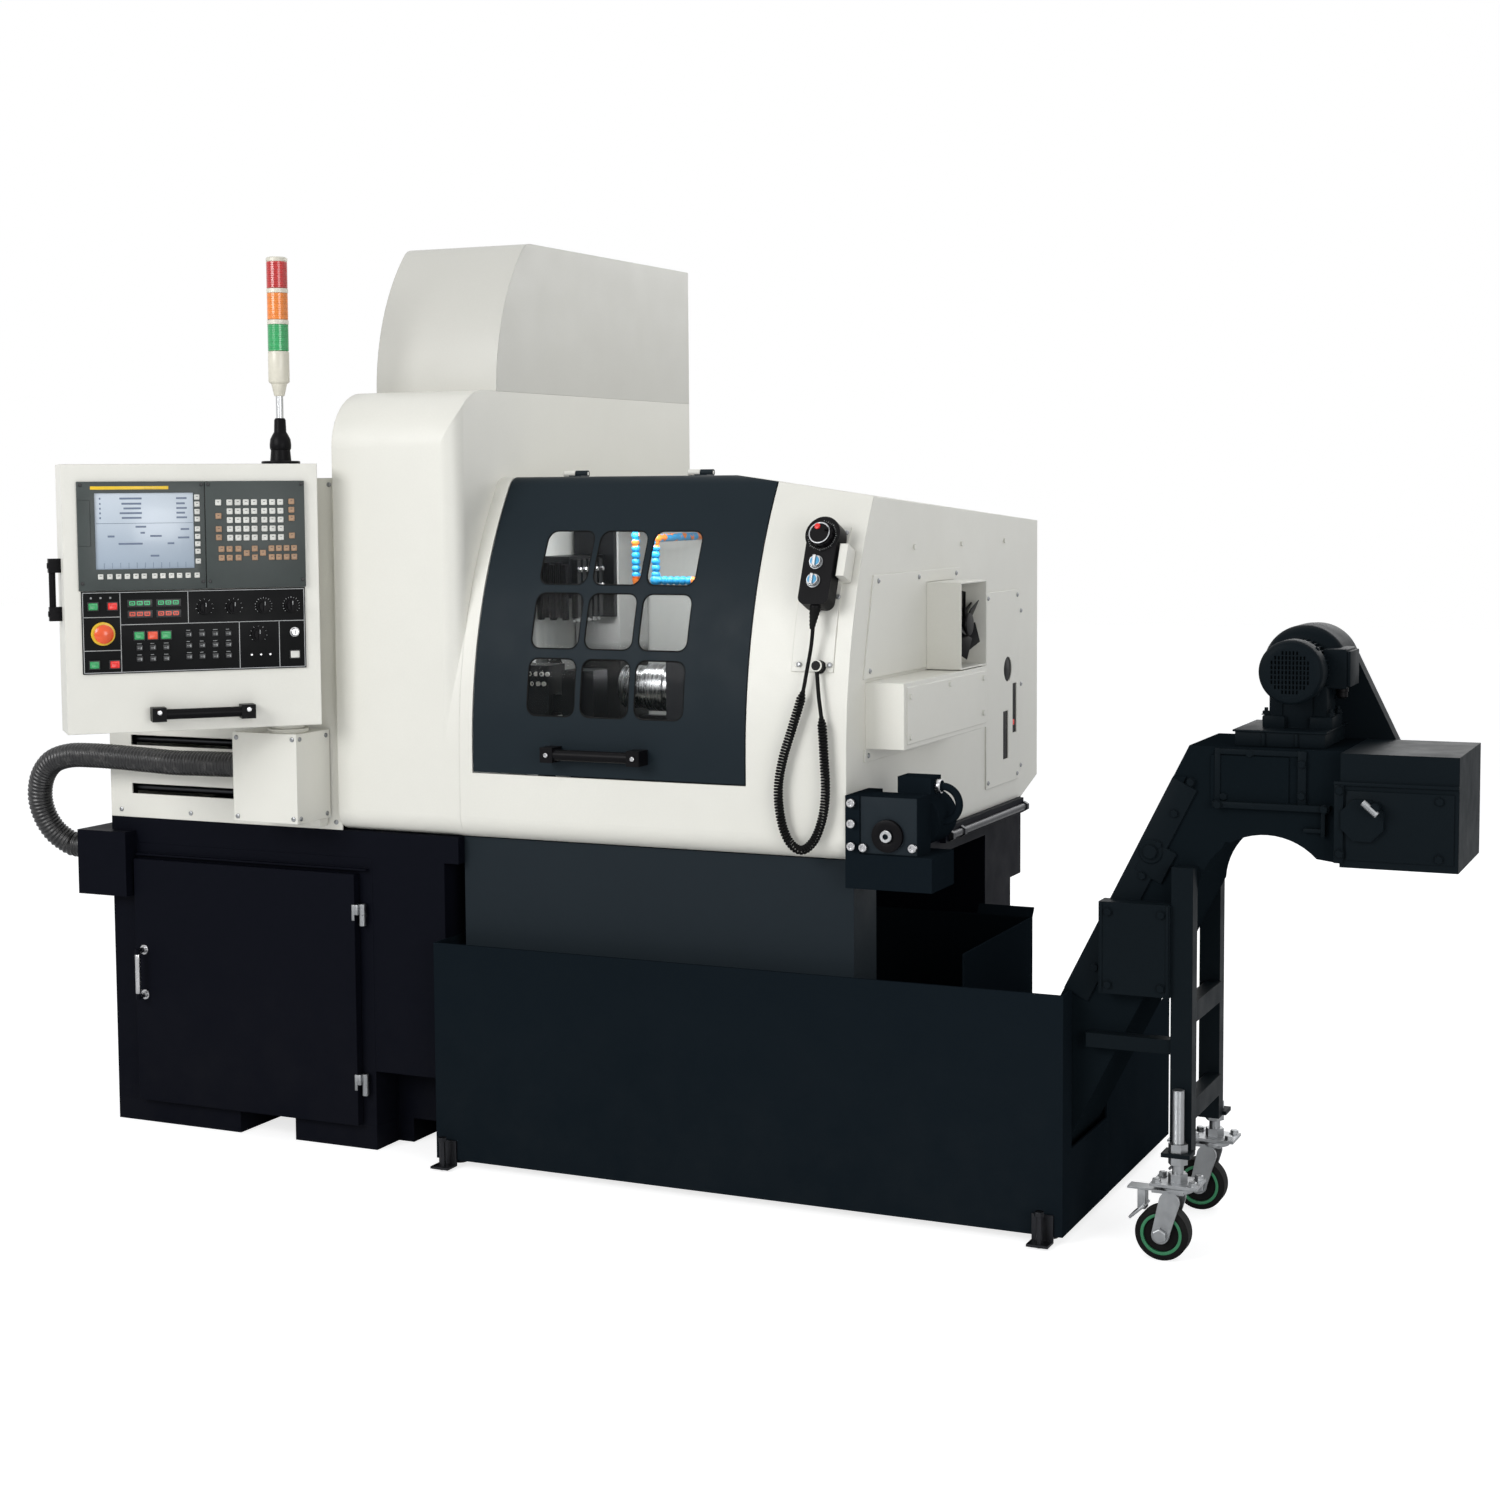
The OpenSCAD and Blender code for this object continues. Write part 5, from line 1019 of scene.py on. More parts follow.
class LATHE_OT_controls(PendantFace, bpy.types.Operator):
    """Operator panel: group lines, lamps, buttons, keys, displays and switch scales"""

    bl_idname = "lathe.controls"
    bl_label = "Operator panel"

    origin = (4, 4, 1097.0)
    slot = "panel_black"

    def execute(self, context):
        plate = self.slab("control_plate", (0, 0, 0), (474, -4, 176), 1.2)
        stop = self.stand(43, 0, 86)
        bore = settled(turned("bore", ((-20, 8.05), (20, 8.05))), stop)
        self.put(smoothed(carved(plate, bore), 30), "panel")
        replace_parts(plate, "operator_panel")
        made = [
            self.slab(
                "line", (u - LINE_HALF, 0.35, z - LINE_HALF), (u1 + LINE_HALF, -0.2, z1 + LINE_HALF)
            )
            for u, z, u1, z1 in GROUP_LINES
        ]
        self.put(joined(made, "control_group_lines"), "line")
        self.put(settled(ring("stop_ring", 25, 8.2, 0, 6.8, 40, 1.2), stop), "yellow")
        self.buttons()
        self.switches()
        self.segments()
        self.scales()
        return {"FINISHED"}

    def buttons(self):
        for name, places, finish, wide, tall in (
            ("green_buttons", ((24, 144), (24, 20)), "green_key", 19, 15),
            ("red_buttons", ((64, 144), (66, 20)), "red_key", 19, 15),
            ("green_keys", ((118, 80), (174, 80)), "green_key", 20.5, 16.5),
            ("red_key", ((146, 80),), "orange_key", 20.5, 16.5),
            ("white_button", ((449, 30),), "key_white", 19, 15),
        ):
            self.spread(key_cap(wide, tall, 5.5, 0.6), places, 0, name, finish)
            half, rise = wide / 2 + 2, tall / 2 + 2
            rim = small("rim", (-half, -2.2, -rise), (half, 0, rise), 0.6)
            self.spread(rim, places, 0, name + "_rims", "key_dark")
        keys = [(u, z) for u in (118, 146, 174) for z in (54, 30)]
        keys += [(u, z) for u in (222, 250, 278, 306) for z in (80, 56, 32)]
        self.spread(key_cap(13.5, 11.5, 3, 0.4), keys, 0, "small_keys", "key_dark")
        spans = []
        for k, (u, z) in enumerate(keys):
            up = z + k % 2
            spans += [
                ((u - 4.5, 2.75, up - 1.2), (u + 1 + k % 3, 2.5, up - 0.1)),
                ((u - 5, 0.25, z + 8), (u + 5 - k % 4, -0.1, z + 9.4)),
                ((u + 2, 2.75, z - 3.4), (u + 5, 2.5, z + 2.2)),
            ]
        spans += [((u, 0.3, 160), (u + 4, -0.1, 164)) for u in (18, 38, 58)]
        made = [self.slab("mark", low, high) for low, high in spans]
        self.put(joined(made, "control_key_marks"), "key_mark")

    def switches(self):
        lock = turned("key_lock", ((0, 10.5), (3, 10.5), (3.5, 8.5), (10, 8), (11, 7)))
        carved(lock, small("cut", (-0.9, -4.5, 6), (0.9, 4.5, 20)))
        self.put(settled(smoothed(lock), self.stand(449, 0, 79)), "bright")
        stub = turned("lever", ((0, 3.5), (2, 3), (4.5, 2.4), (5, 1.8)), 16)
        places = [self.stand(u, 0, 32) for u in (355, 375, 395)]
        self.put(copies(stub, places, "toggle_stubs"), "bright")

    def segments(self):
        for finish, z in (("green_led", 149), ("red_led", 126)):
            made = []
            for group in (98, 158):
                low, high = (group - 3, 0.8, z - 8), (group + 49, 0, z + 8)
                self.put(self.slab("segment_window", low, high, 0.4), "key_dark")
                for u in (group + 1, group + 16.5, group + 32):
                    for du, dz, wide, tall in DIGIT_BARS:
                        low = (u + du, 1.05, z + dz)
                        made.append(self.slab("bar", low, (low[0] + wide, 0.8, low[2] + tall)))
            self.put(joined(made, finish + "_bars"), finish)

    def scales(self):
        ticks = []
        for index in range(1, 6):
            knob = "knob_%d" % index
            low, high = (Vector(corner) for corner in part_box(knob))
            centre = PENDANT.inverted() @ ((low + high) / 2)
            centre.y = PENDANT_FACE / 1000 - 0.004
            place = Matrix.Translation(centre)
            count = 9 if index in (1, 2, 5) else 15
            for k in range(count):
                tick = small("tick", (-0.5, -0.3, 16.5), (0.5, 0.1, 19.5 if k % 2 else 18.5))
                ticks.append(settled(tick, place @ spun(-130 + 260 * k / (count - 1), "Y")))
            pointer = small(knob + "_pointer", (-0.7, -20.4, 2), (0.7, -19.8, 10.5), 0.2)
            dressed(settled(pointer, PENDANT @ place), "line", knob, "panel_black")
        self.put(joined(ticks, "control_scales"), "line")


# Signal tower: heights and radii
TOWER_NECK = (
    (0, 42), (5, 42), (6.5, 40), (7, 23), (30, 21), (34, 23), (42, 23.4), (54, 22), (64, 17),
    (70, 13.5), (96, 12.5), (100, 10),
)
TOWER_BASE = (
    (148, 10), (150, 11.5), (174, 17), (178, 22), (180, 23), (242, 23), (245, 22.4), (246, 20)
)
TOWER_CAP = ((439, 22), (441, 23.4), (447, 23.2), (449.4, 20), (450, 12))
LENS_RIB = ((0, 22.9), (3.2, 22.9), (3.9, 22.3), (4.5, 22.3))
LENS_LOW, LENS_PITCH, LENS_TALL = 246, 68, 57


class LATHE_OT_tower(bpy.types.Operator):
    """Signal tower: flange, neck, pole, lamp stack"""

    bl_idname = "lathe.tower"
    bl_label = "Signal tower"

    def execute(self, context):
        foot = PENDANT @ Matrix.Translation(on_face(443, -60, 1542))

        def put(name, stations, finish, sides=40):
            piece = settled(turned(name, stations, sides), foot)
            return dressed(piece, finish, "pendant", "tower_plastic")

        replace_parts(put("tower_neck", TOWER_NECK, "black"), "signal_tower")
        put("tower_pole", ((98, 8), (158, 8)), "steel")
        put("tower_base", TOWER_BASE, "white_plastic")
        put("tower_cap", TOWER_CAP, "white_plastic")
        for k, finish in enumerate(("green_lens", "amber_lens", "red_lens")):
            low = LENS_LOW + LENS_PITCH * k
            high = low + LENS_TALL
            ribs = [(low + 1 + step * 4.7 + z, r) for step in range(12) for z, r in LENS_RIB]
            put("tower_" + finish, [(low, 21), *ribs, (high, 21)], finish, 48)
            if k < 2:
                stations = ((high, 21), (high + 1, 23.5), (high + 10, 23.5), (high + 11, 21))
                put("tower_ring_%d" % k, stations, "white_plastic")
        return {"FINISHED"}


# Door windows: middle, height of the middle, tallness; all as wide and as round as each other
WINDOWS = [
    (1319 + 129 * i, z, tall)
    for z, tall in ((1060, 125), (1201, 120), (1335, 116))
    for i in (-1, 0, 1)
]
WINDOW_WIDE, WINDOW_R = 117.0, 22.0
GRIP_BOLT = ((0, 5.2), (2.2, 5.2), (3.2, 4.2), (3.3, 2.6), (1.8, 2.4))


class LATHE_OT_door(bpy.types.Operator):
    """Door: window seals, and the bolts of the door's and the pendant's grips"""

    bl_idname = "lathe.door"
    bl_label = "Door trim"

    def execute(self, context):
        seals = [self.seal(*window) for window in WINDOWS]
        dressed(joined(seals, "door_window_seals"), "rubber", "door")
        places = [PENDANT @ Matrix.Translation(on_face(u, 38, 1013)) for u in (156.5, 345.5)]
        self.bolts([place @ FRONT for place in places], "pendant_grip_bolts", "pendant")
        places = [at(x, -56.5, 920, FRONT) for x in (1204, 1410)]
        self.bolts(places, "door_handle_bolts", "door")
        return {"FINISHED"}

    def bolts(self, places, name, body):
        dressed(copies(turned("bolt", GRIP_BOLT, 24), places, name), "bright", body)

    def seal(self, x, z, tall):
        """A rounded strip that follows the window's edge on the arched skin."""
        wide, high = WINDOW_WIDE / 2 - WINDOW_R, tall / 2 - WINDOW_R
        outline = []
        corners = ((wide, high), (-wide, high), (-wide, -high), (wide, -high))
        for quarter, (cx, cz) in enumerate(corners):
            for k in range(7):
                turn = math.radians(90 * quarter + 15 * k)
                outline.append((cx + WINDOW_R * math.cos(turn), cz + WINDOW_R * math.sin(turn)))
        points = []
        for (ax, az), (bx, bz) in zip(outline, outline[1:] + outline[:1]):
            parts = max(1, int(math.hypot(bx - ax, bz - az) / 12))
            for t in (j / parts for j in range(parts)):
                points.append((ax + (bx - ax) * t, az + (bz - az) * t))
        points.append(points[0])
        line = [spot(x + px * 0.985, front_at(z + pz) + 1.6, z + pz * 0.985) for px, pz in points]
        return swept("seal", line, [0.0019] * len(line), 6)


class LATHE_OT_handwheel(bpy.types.Operator):
    """Hand-wheel unit: dial scale, push button, selector caps"""

    bl_idname = "lathe.handwheel"
    bl_label = "Hand-wheel unit"

    def execute(self, context):
        wheel = on_arch(1803, 1310)
        face, dial = -54, 58

        def put(piece, place, finish, body="base", slot=None, turn=FRONT):
            return dressed(settled(piece, wheel @ shift(*place) @ turn), finish, body, slot)

        scale = ring("dial_scale", 34.5, 28.5, 0, 1.2, 48)
        put(scale, (0, face, dial), "panel", "base", "black_plastic")
        ticks = []
        for k in range(40):
            tick = small("tick", (-0.4, -0.2, 29), (0.4, 0.1, 31.5 if k % 5 else 33.5))
            ticks.append(settled(tick, wheel @ shift(0, face - 1.2, dial) @ spun(9 * k, "Y")))
        dressed(joined(ticks, "dial_ticks"), "line", "base", "black_plastic")
        button = turned("dial_button", ((0, 6.2), (2, 6.2), (3.2, 5.2), (3.5, 3)), 24)
        put(button, (-6, face - 16.8, 72), "red_key", "handwheel_dial")
        rim = ring("dial_rim", 23.2, 20.5, 0, 1.4, 40, 0.4)
        put(rim, (0, face - 16.6, dial), "zinc", "handwheel_dial", "steel")
        for selector, z in (("selector_1", 0), ("selector_2", -40)):
            cap = turned(selector + "_cap", ((0, 9.8), (1.6, 9.6), (2.4, 8)), 28)
            carved(cap, small("cut", (-3.4, -11.5, -1), (3.4, 11.5, 10)))
            put(smoothed(cap), (-4, face - 9.8, z), "blue_cap", selector)
            collar = ring(selector + "_collar", 14.8, 12.5, 0, 2.6, 32, 0.5)
            put(collar, (-4, face, z), "zinc", "base", "steel")
        radii = (12.6, 11.0, 11.6, 9.8, 10.4, 8.6, 9.2, 7.4, 8.0, 6.4, 6.8, 5.4, 5.0)
        relief = turned("cord_strain_relief", [(4 * k, r) for k, r in enumerate(radii)], 24, 60)
        put(relief, (0, -34, -88), "rubber", turn=UNDER)
        stations = ((0, 13.5), (8, 13.5), (9, 12.2), (18, 12.5), (24, 11.8), (27.5, 8.5))
        dressed(settled(turned("cord_gland", stations), on_arch(1811, 1118) @ FRONT), "black")
        return {"FINISHED"}


# Cover screws: on the hand-wheel's plate, and on the right side
PLATE_SCREWS = ((12, 14), (80, 14), (12, 278), (80, 278), (84, 150))
SIDE_SCREWS = (
    (110, 1104), (640, 1104), (640, 1288), (160, 1288), (400, 1288), (864, 784), (1083, 784),
    (864, 1220), (1083, 1220), (100, 930), (300, 930), (500, 930),
)
SCREW_HEAD = ((0, 1), (0.35, 0.95), (0.55, 0.62), (0.56, 0.42), (0.3, 0.38))


class LATHE_OT_screws(bpy.types.Operator):
    """Cover screws all round the machine"""

    bl_idname = "lathe.screws"
    bl_label = "Cover screws"

    def execute(self, context):
        r = context.scene.lathe_fittings.screw_radius * 1000
        head = [(z * r, wide * r) for z, wide in SCREW_HEAD]
        carriage = [at(x, -130, z, FRONT) for x in (460, 609) for z in (762, 938)]
        carriage += [at(620, y, z, RIGHT) for y in (-118, -18) for z in (762, 938)]
        covers = [at(x, 0, 740, FRONT) for x in (30, 230, 430, 632)]
        covers += [at(x, 0, 1496, FRONT) for x in (30, 330, 630)]
        out = shift(0, -5.8, 0) @ FRONT
        covers += [on_arch(1753 + x, 1108 + z) @ out for x, z in PLATE_SCREWS]
        covers += [at(1874, 1120, z, RIGHT) for z in (800, 1000, 1180)]
        covers += [at(1877, y, z, RIGHT) for y, z in SIDE_SCREWS]
        for body, places, name in (
            ("carriage", carriage, "carriage_screws"), ("base", covers, "cover_screws"),
        ):
            dressed(copies(turned("screw", head, 14), places, name), "zinc", body)
        return {"FINISHED"}


class LATHE_OT_side(bpy.types.Operator):
    """Right side: dark windows of the hatch, fan blades and fan plate"""

    bl_idname = "lathe.side"
    bl_label = "Side hatch and fan"

    def execute(self, context):
        oval = turned("oval", ((0, 29.6), (1, 29.6), (1.4, 28.8)), 40)
        darks = [settled(oval, at(1873.6, 1011, 1043.8, RIGHT))]
        darks += boxes((
            (1873.6, 976.4, 828.4, 1875, 1013.6, 943.6),
            (1873.6, 1048.4, 886.4, 1875, 1077.6, 1006.2),
        ), 0.4)
        dressed(joined(darks, "hatch_windows"), "black")
        (mark,) = boxes(((1874.6, 1053, 905, 1875.6, 1066, 918),), 0.3, "hatch_mark")
        dressed(mark, "red_key")
        plate = turned("fan_plate", ((0, 75), (2, 75), (3, 73.5)), 48)
        dressed(settled(plate, at(1867, 533, 1179, RIGHT)), "black")
        hub = at(1919, 533, 1179)
        blade = small("blade", (-1.2, -34, 18), (1.2, 34, 73.5), 0.8)
        pitched = shift(12, 0, 0) @ spun(28, "Z")
        blades = copies(blade, [hub @ spun(72 * k, "X") @ pitched for k in range(5)], "blades")
        cap = turned("cap", ((8, 25.8), (26, 25.8), (29, 24), (30, 18)), 36)
        rotor = joined([blades, settled(cap, hub @ RIGHT)], "fan_blades")
        dressed(rotor, "black", "fan_rotor")
        return {"FINISHED"}


class LATHE_OT_cabinet(bpy.types.Operator):
    """Cabinet door: chromed pull, hinges, gasket"""

    bl_idname = "lathe.cabinet"
    bl_label = "Cabinet fittings"

    def execute(self, context):
        line = [(-21.5, 309), (-36, 309), (-44, 311.5), (-48, 318)]
        line += [(-48, z) for z in (*range(325, 402, 8), 406)]
        line += [(-44, 412.5), (-36, 415), (-21.5, 415)]
        line = [spot(104, y, z) for y, z in line]
        dressed(swept("cabinet_pull", line, [0.0064] * len(line), 20), "bright", "cabinet_door")
        foot = ring("foot", 11.5, 6.6, 0, 3, 28, 0.6)
        feet = copies(foot, [at(104, -22, z, FRONT) for z in (309, 415)], "cabinet_pull_feet")
        dressed(feet, "bright", "cabinet_door")
        leaves, fixed = [], []
        for z in (126, 512):
            for knuckles, low, tall in ((fixed, z, 24.2), (leaves, z + 24.5, 24.5)):
                stations = ((0, 7.6), (0.5, 7.9), (tall - 0.5, 7.9), (tall, 7.6))
                knuckles.append(settled(turned("knuckle", stations, 28), at(705, -12, low)))
            leaves += boxes((
                (684, -24.6, z + 12, 691, -21.9, z + 48), (689.5, -24.6, z + 25, 700, -12, z + 48),
            ), 0.8)
        dressed(joined(leaves, "cabinet_hinge_leaves"), "zinc", "cabinet_door")
        dressed(joined(fixed, "cabinet_hinge_pins"), "zinc")
        seal = boxes((
            (80, -2.4, 60, 688, -0.3, 66), (80, -2.4, 619, 688, -0.3, 625),
            (80, -2.4, 60, 86, -0.3, 625), (682, -2.4, 60, 688, -0.3, 625),
        ))
        dressed(joined(seal, "cabinet_gasket"), "rubber")
        return {"FINISHED"}


class LATHE_OT_chamber(bpy.types.Operator):
    """Machining area: collet noses, tool holders and tips, block screws"""

    bl_idname = "lathe.chamber"
    bl_label = "Machining area"

    def execute(self, context):
        screw = turned("screw", ((0, 5.2), (4, 5.2), (4.6, 4.6), (4.7, 2.6), (3, 2.4)), 20)
        places = [at(1030 + 14.5 * k, 189.6, 1071, FRONT) for k in range(4)]
        places += [at(1035 + 14.5 * k, 189.6, 1049, FRONT) for k in range(3)]
        screws = copies(screw, places, "tool_block_screws")
        # The steel screws take the pale key plastic: their pale colour is a painted highlight
        dressed(screws, "key_white", "base", "steel")
        stations = ((0, 17.5), (0, 34), (4, 37.5), (10, 48.2), (14, 48.6), (40, 48.6), (42, 48.4))
        nose = turned("sub_spindle_nose", stations, 56)
        dressed(settled(nose, at(1189.6, 350, 1035, RIGHT)), "steel", "sub_spindle")
        mouth = ring("collet_face", 30, 16.8, 0, 1.2, 48, 0.3)
        dressed(settled(mouth, at(1189.2, 350, 1035, LEFT)), "bright", "sub_spindle")
        tools = [318 + 26 * k for k in range(5)]
        tip = small("tip", (-5, -5, 0), (5, 5, 10.4), 0.8)
        tips = copies(tip, [at(1076, y, 1179.8) for y in tools], "tool_tips")
        dressed(tips, "bright", "gang_slide")
        holder = small("holder", (-6.2, -15, 0), (6.2, 0, 126), 1.2)
        carved(holder, small("cut", (-1.2, -20, -10), (1.2, -13.5, 140)))
        places = [at(1000 + 16 * k, 299.6, 1186 + 5 * (k % 2)) for k in range(5)]
        dressed(copies(holder, places, "tool_holders"), "black", "gang_slide", "tool_black")
        clamp = turned("clamp", ((0, 6), (6, 6), (7, 5)), 6)
        places = [at(1086, y, z, RIGHT) for y in tools for z in (1262, 1300)]
        dressed(copies(clamp, places, "tool_clamp_screws"), "bright", "gang_slide")
        return {"FINISHED"}


# Conveyor: its incline, bolts, and bars and plates as corners
INCLINE = 63.3
INCLINED = spun(90 - INCLINE, "Y")


def upper_x(z):
    """Where the conveyor's incline starts at a height, in machine millimetres."""
    return 2317 + (z - 486) / math.tan(math.radians(INCLINE))


CONVEYOR_BOLTS = [
    (2685, 15, 976), (2636, 15, 892), (2784, 9, 960), (2784, 9, 900), (2628, -2, 878),
    (2828, -2, 878), *((upper_x(z) + 40, 10, z) for z in range(545, 920, 62)), (2861, -29, 919),
    (2862, -29, 801), (3040, -26, 800), (3040, -26, 906), (2424, -31, 664), (2528, -31, 664),
    (2424, -31, 522), (2528, -31, 522),
]
CONVEYOR_PLATES = (
    (2621, 9.6, 973, 2791, 15.5, 983.4), (2619, 9, 880, 2630, 15.5, 984),
    (2776, 8.4, 880.4, 2792, 15.5, 984.2), (2617, -2, 872, 2838, 15.6, 884),
    (2821, 3, 825, 2829, 15.5, 873), (2788, 5, 832, 2825, 15.5, 840),
    (2851, -29, 783, 2868, -22.5, 931), (2850, -29, 928, 3074, -22.5, 935),
    (2872, -26, 789, 3066, -22.5, 919), (2407, -33, 506, 2413, -30.5, 681),
    (2537, -33, 506, 2543, -30.5, 681),
)
GUARD_BOLTS = ((2757, 1195), (2700, 1110), (2905, 848), (2870, 1010))


class LATHE_OT_conveyor(bpy.types.Operator):
    """Chip conveyor: edge strip, frames, hinge, lever, bearing and bolts"""

    bl_idname = "lathe.conveyor"
    bl_label = "Conveyor fittings"

    def execute(self, context):
        bolt = turned("bolt", ((0, 9.5), (1.2, 9.5), (1.3, 7.8), (5.8, 7.8), (6.4, 7)), 6, 20)
        places = [at(*place, FRONT) for place in CONVEYOR_BOLTS]
        dressed(copies(bolt, places, "conveyor_bolts"), "conveyor")
        strip = small("strip", (0, 9.5, 0), (53.6, 15.5, 476), 1.2)
        bars = [settled(strip, at(upper_x(500), 0, 500, INCLINED)), *boxes(CONVEYOR_PLATES, 1.2)]
        dressed(joined(bars, "conveyor_plates"), "conveyor")
        hub = turned("hub", ((0, 24), (8, 24), (10.5, 21.5), (10.5, 14.5), (16, 14), (18, 11.5)))
        settled(hub, at(2497, 15, 779, FRONT))
        plate = small("plate", (-30, 8.2, -56), (30, 15.5, 12), 2.5)
        settled(plate, at(2503, 0, 786, INCLINED @ shift(14, 0, 0)))
        dressed(joined([hub, plate], "idler_bearing"), "conveyor")
        lever = turned("head_lever", ((0, 6), (1, 6.8), (34, 6.8), (35, 6)), 24)
        dressed(settled(lever, aimed(spot(2907, -52, 902), (0.75, 0, -0.66))), "zinc")
        guard = turned("bolt", ((0, 8), (5, 8), (6, 6.5)), 6, 20)
        places = [at(x, 297, z, REAR) for x, z in GUARD_BOLTS]
        dressed(copies(guard, places, "guard_bolts"), "zinc")
        return {"FINISHED"}


# Conveyor motor: turned parts along its axis, and blocks as their edge and corners
COWL = ((0, 46), (0.6, 50), (3, 56.2), (7, 59.4), (12, 61), (50, 61), (52, 59.5))
GEAR = ((126, 58), (130, 68), (137, 76.5), (145, 81), (150, 82), (234.5, 82))
STUD = ((0, 9.5), (1.6, 9.5), (1.7, 7.5), (7.5, 7.5), (8, 4), (14, 3.6))
COWL_GRID = [(x * 6.8, y * 9.2) for x in range(-5, 6) for y in range(-4, 5)]
GRID_R = 41
MOTOR_BLOCKS = (
    (1, 2650, 42, 987, 2820, 243, 1014), (1, 2646, 38, 1014, 2824, 245, 1018),
    (1, 2702, 37, 988, 2708, 43, 1013), (1, 2764, 37, 988, 2770, 43, 1013),
    (4, 2690, 92, 1017, 2734, 192, 1042), (4, 2780, 92, 1017, 2824, 192, 1042),
    (3, 2702, 100, 1038, 2728, 186, 1100), (3, 2786, 100, 1038, 2812, 186, 1100),
    (3, 2712, 104, 1016, 2802, 240, 1092), (4, 2800, 110, 1094, 2846, 210, 1170),
    (2, 2846, 114, 1098, 2852, 206, 1166),
)


class LATHE_OT_conveyor_motor(bpy.types.Operator):
    """Conveyor motor: plinth, feet, finned body, slotted cowl, gear housing and terminal box"""

    bl_idname = "lathe.conveyor_motor"
    bl_label = "Conveyor motor"

    def execute(self, context):
        cowl = turned("cowl", COWL, 64)
        slot = small("slot", (-1.7, -3.4, -4), (1.7, 3.4, 5))
        places = [shift(x, y, 0) for x, y in COWL_GRID if math.hypot(x, y) < GRID_R]
        carved(cowl, copies(slot, places, "slots"))
        core = turned("core", ((50, 51), (176, 51)), 64)
        fin = small("fin", (-1.5, 49, 52.5), (1.5, 56.8, 174), 0.5)
        fins = copies(fin, [spun(10 * k, "Z") for k in range(36)], "fins")
        pieces = [smoothed(cowl, 30), core, fins, turned("gear", GEAR, 64)]
        for piece in pieces:
            settled(piece, at(2757, 20, 1130, REAR))
        for edge, *corners in MOTOR_BLOCKS:
            pieces += boxes((corners,), edge)
        places = [at(x, y, 1042) for x in (2696, 2818) for y in (104, 180)]
        pieces.append(copies(turned("stud", STUD, 6, 20), places, "studs"))
        screw = turned("screw", ((0, 4.5), (2, 4.5), (3, 3)), 14)
        turns = [spun(45 - 90 * k, "Y") @ shift(0, 0, 61) for k in range(4)]
        pieces.append(copies(screw, [at(2757, 60, 1130, turn) for turn in turns], "screws"))
        motor = dressed(joined(pieces, "conveyor_gear_motor"), "conveyor")
        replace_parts(motor, "conveyor_motor")
        gland = turned("gland", ((0, 12), (8, 12), (9, 10.5), (18, 10.5), (21, 7)), 24)
        dressed(settled(gland, at(2829, 160, 1094, UNDER)), "black")
        return {"FINISHED"}


class LATHE_OT_tank(bpy.types.Operator):
    """Tank: low bay behind the conveyor, and the rail beside the bed"""

    bl_idname = "lathe.tank"
    bl_label = "Tank bay and rail"

    def execute(self, context):
        walls = boxes((
            (2335, 274, 17, 2341, 766, 336), (2026, 734, 17, 2336, 740, 318),
            (2026, 274, 17.5, 2336, 740, 22),
        ), 1)
        dressed(joined(walls, "tank_rear_bay"), "tank")
        line = [spot(1889, y, 701) for y in (560, 750, 930, 1108)]
        bar = swept("bed_rail", line, [0.0085] * len(line), 20)
        nut = turned("nut", ((0, 13), (12, 13), (13.5, 11.5)), 6, 20)
        nuts = copies(nut, [at(1889, y, 701, FRONT) for y in (572, 650, 1108)], "nuts")
        dressed(joined([bar, nuts], "bed_rail"), "tool", "base", "bed_navy")
        return {"FINISHED"}


# Casters: how far the stem trails the axle, bolt and one turn of the thread
CASTER_TRAIL = 0.027
CASTER_BOLT = ((0, 10.5), (1.5, 10.5), (1.6, 8.5), (7.5, 8.5), (8.5, 6))
THREAD = ((0, 11.2), (1.1, 11.9), (2.2, 11.2))
THREAD_LOW, THREAD_PITCH, THREAD_TURNS = 228, 2.4, 43


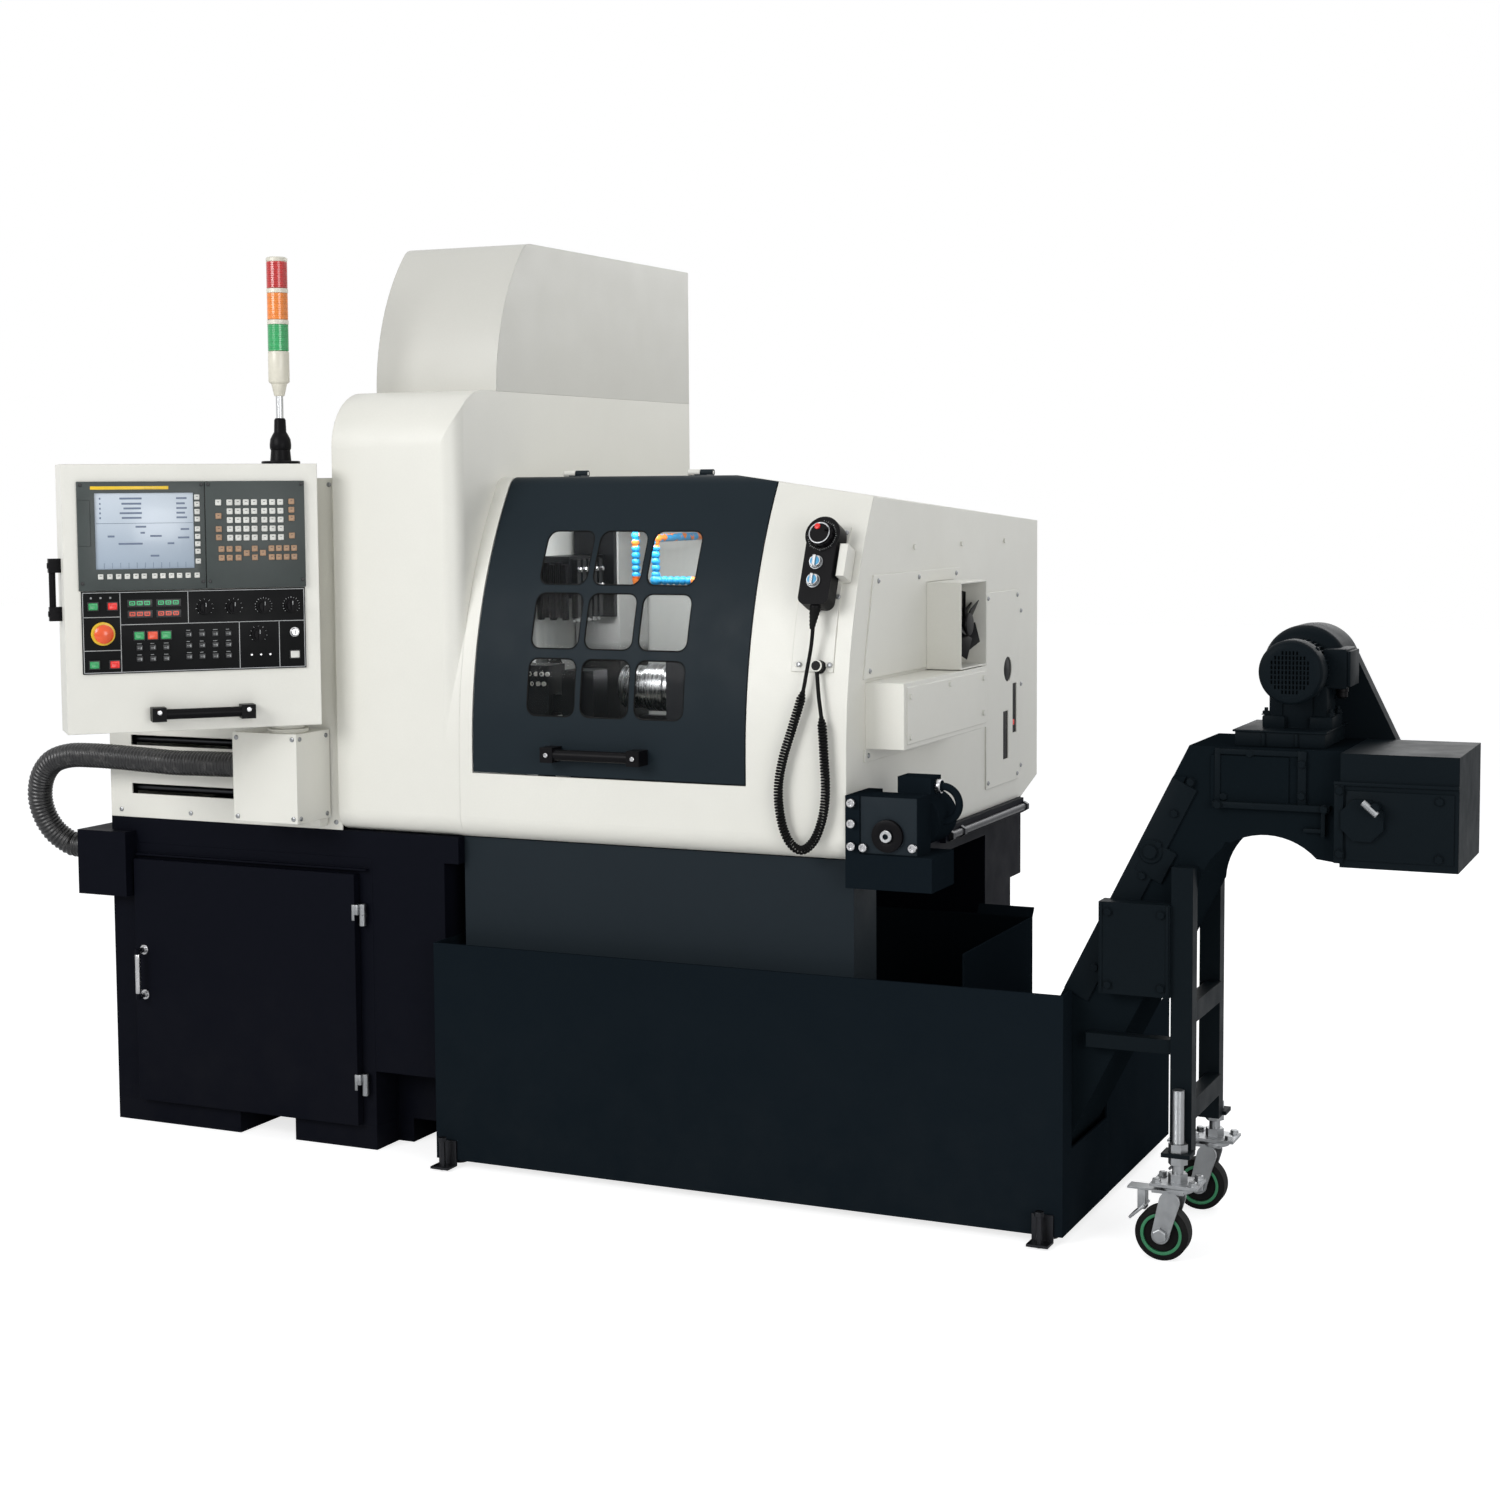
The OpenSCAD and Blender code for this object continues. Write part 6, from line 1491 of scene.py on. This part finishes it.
class LATHE_OT_casters(bpy.types.Operator):
    """Casters: green rims, hubs, brake shoes, bolts and threaded rods"""

    bl_idname = "lathe.casters"
    bl_label = "Casters"

    def execute(self, context):
        for index in (1, 2):
            self.caster("caster_%d" % index, "caster_wheel_%d" % index)
        return {"FINISHED"}

    def caster(self, fork, wheel):
        low, high = (Vector(corner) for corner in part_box(wheel))
        middle = (low + high) / 2
        half = (high.y - low.y) / 2 * 1000
        axle = Matrix.Translation(middle)
        stem = Matrix.Translation((middle.x + CASTER_TRAIL, middle.y, 0))

        def both(out):
            return [axle @ shift(0, -out, 0) @ FRONT, axle @ shift(0, out, 0) @ REAR]

        rim = ring("rim", 40.5, 34.5, -5.5, 0.6, 48, 0.8)
        dressed(copies(rim, both(half), fork + "_rims"), "wheel_green", wheel)
        hub = ring("hub", 17.5, 8.6, -4, 1.2, 32, 0.6)
        dressed(copies(hub, both(half), fork + "_hubs"), "zinc", wheel)
        nut = turned("nut", ((0, 14.5), (7.2, 14.5), (8.5, 12)), 6, 20)
        race = turned("race", ((0, 26), (3, 31), (9, 31), (12, 27)), 40)
        shoe = small("shoe", (-30, -21.5, 58), (10, 21.5, 63.5), 1.5)
        post = small("post", (-76, -12, 94), (-60, 12, 137), 1.5)
        pieces = [
            copies(nut, both(28.5), "nuts"), settled(race, stem @ shift(0, 0, 135.5)),
            settled(shoe, axle @ spun(-42, "Y")), settled(post, stem),
        ]
        dressed(joined(pieces, fork + "_axle_nuts"), "zinc", fork)
        places = [stem @ shift(x, y, 154) for x in (-35, 35) for y in (-25, 25)]
        bolts = copies(turned("bolt", CASTER_BOLT, 6, 20), places, fork + "_bolts")
        dressed(bolts, "zinc")
        lows = [THREAD_LOW + THREAD_PITCH * k for k in range(THREAD_TURNS)]
        stations = [(low + z, r) for low in lows for z, r in THREAD]
        dressed(settled(turned(fork + "_thread", stations, 24, 60), stem), "zinc")


class LATHE_OT_feeder(bpy.types.Operator):
    """Parts-conveyor drive: face plate, bearing, bolts, conduit ends"""

    bl_idname = "lathe.feeder"
    bl_label = "Feeder drive"

    def execute(self, context):
        (plate,) = boxes(((1906, -17.2, 746, 2027, -14.8, 861),), 1.2, "feeder_face")
        hole = turned("hole", ((-20, 32.5), (20, 32.5)), 40)
        carved(plate, settled(hole, at(1966, -15, 784, FRONT)))
        dressed(smoothed(plate), "apron")
        bearing = at(1966, -14.9, 784, FRONT)
        cover = ring("bearing_cover", 33, 13.5, 0, 12, 48, 1.2)
        dressed(settled(cover, bearing), "black")
        stations = ((0, 12.8), (18, 12.8), (19.5, 11.5), (19.6, 6), (14, 5.5))
        dressed(settled(turned("bearing_hub", stations, 40), bearing), "steel")
        bolt = turned("bolt", ((0, 8.8), (7.5, 8.8), (8.5, 7.8), (8.6, 4.5), (5, 4.2)), 28)
        places = [at(1890, -25, z, FRONT) for z in (760, 806, 848)]
        places += [at(1914, -20, 758, FRONT), at(2020, -20, 762, FRONT)]
        dressed(copies(bolt, places, "feeder_bolts"), "bright")
        collar = ring("conduit_collar", 14.5, 8.4, 0, 12, 28, 0.8)
        dressed(settled(collar, at(2029, 92, 875, RIGHT)), "bright")
        return {"FINISHED"}


class LATHE_PT_panel(bpy.types.Panel):
    bl_label = "Lathe"
    bl_idname = "LATHE_PT_panel"
    bl_space_type = "VIEW_3D"
    bl_region_type = "UI"
    bl_category = "Lathe"

    def draw(self, context):
        for group in (context.scene.lathe_finishes, context.scene.lathe_fittings):
            for key in group.bl_rna.properties.keys():
                if key not in ("rna_type", "name"):
                    self.layout.prop(group, key)
        for step in STEPS:
            self.layout.operator(step.bl_idname)


STEPS = (
    LATHE_OT_stage, LATHE_OT_finishes, LATHE_OT_cable_hose, LATHE_OT_handwheel_cord,
    LATHE_OT_display, LATHE_OT_controls, LATHE_OT_tower, LATHE_OT_door, LATHE_OT_handwheel,
    LATHE_OT_screws, LATHE_OT_side, LATHE_OT_cabinet, LATHE_OT_chamber, LATHE_OT_conveyor,
    LATHE_OT_conveyor_motor, LATHE_OT_tank, LATHE_OT_casters, LATHE_OT_feeder,
)

CLASSES = (LatheFinishes, LatheFittings) + STEPS + (LATHE_PT_panel,)


def register():
    for cls in CLASSES:
        bpy.utils.register_class(cls)
    bpy.types.Scene.lathe_finishes = bpy.props.PointerProperty(type=LatheFinishes)
    bpy.types.Scene.lathe_fittings = bpy.props.PointerProperty(type=LatheFittings)


def unregister():
    del bpy.types.Scene.lathe_fittings
    del bpy.types.Scene.lathe_finishes
    for cls in reversed(CLASSES):
        bpy.utils.unregister_class(cls)


def main():
    register()
    for step in STEPS:
        area, name = step.bl_idname.split(".")
        getattr(getattr(bpy.ops, area), name)()
    clear_selection()


if __name__ == "__main__":
    main()
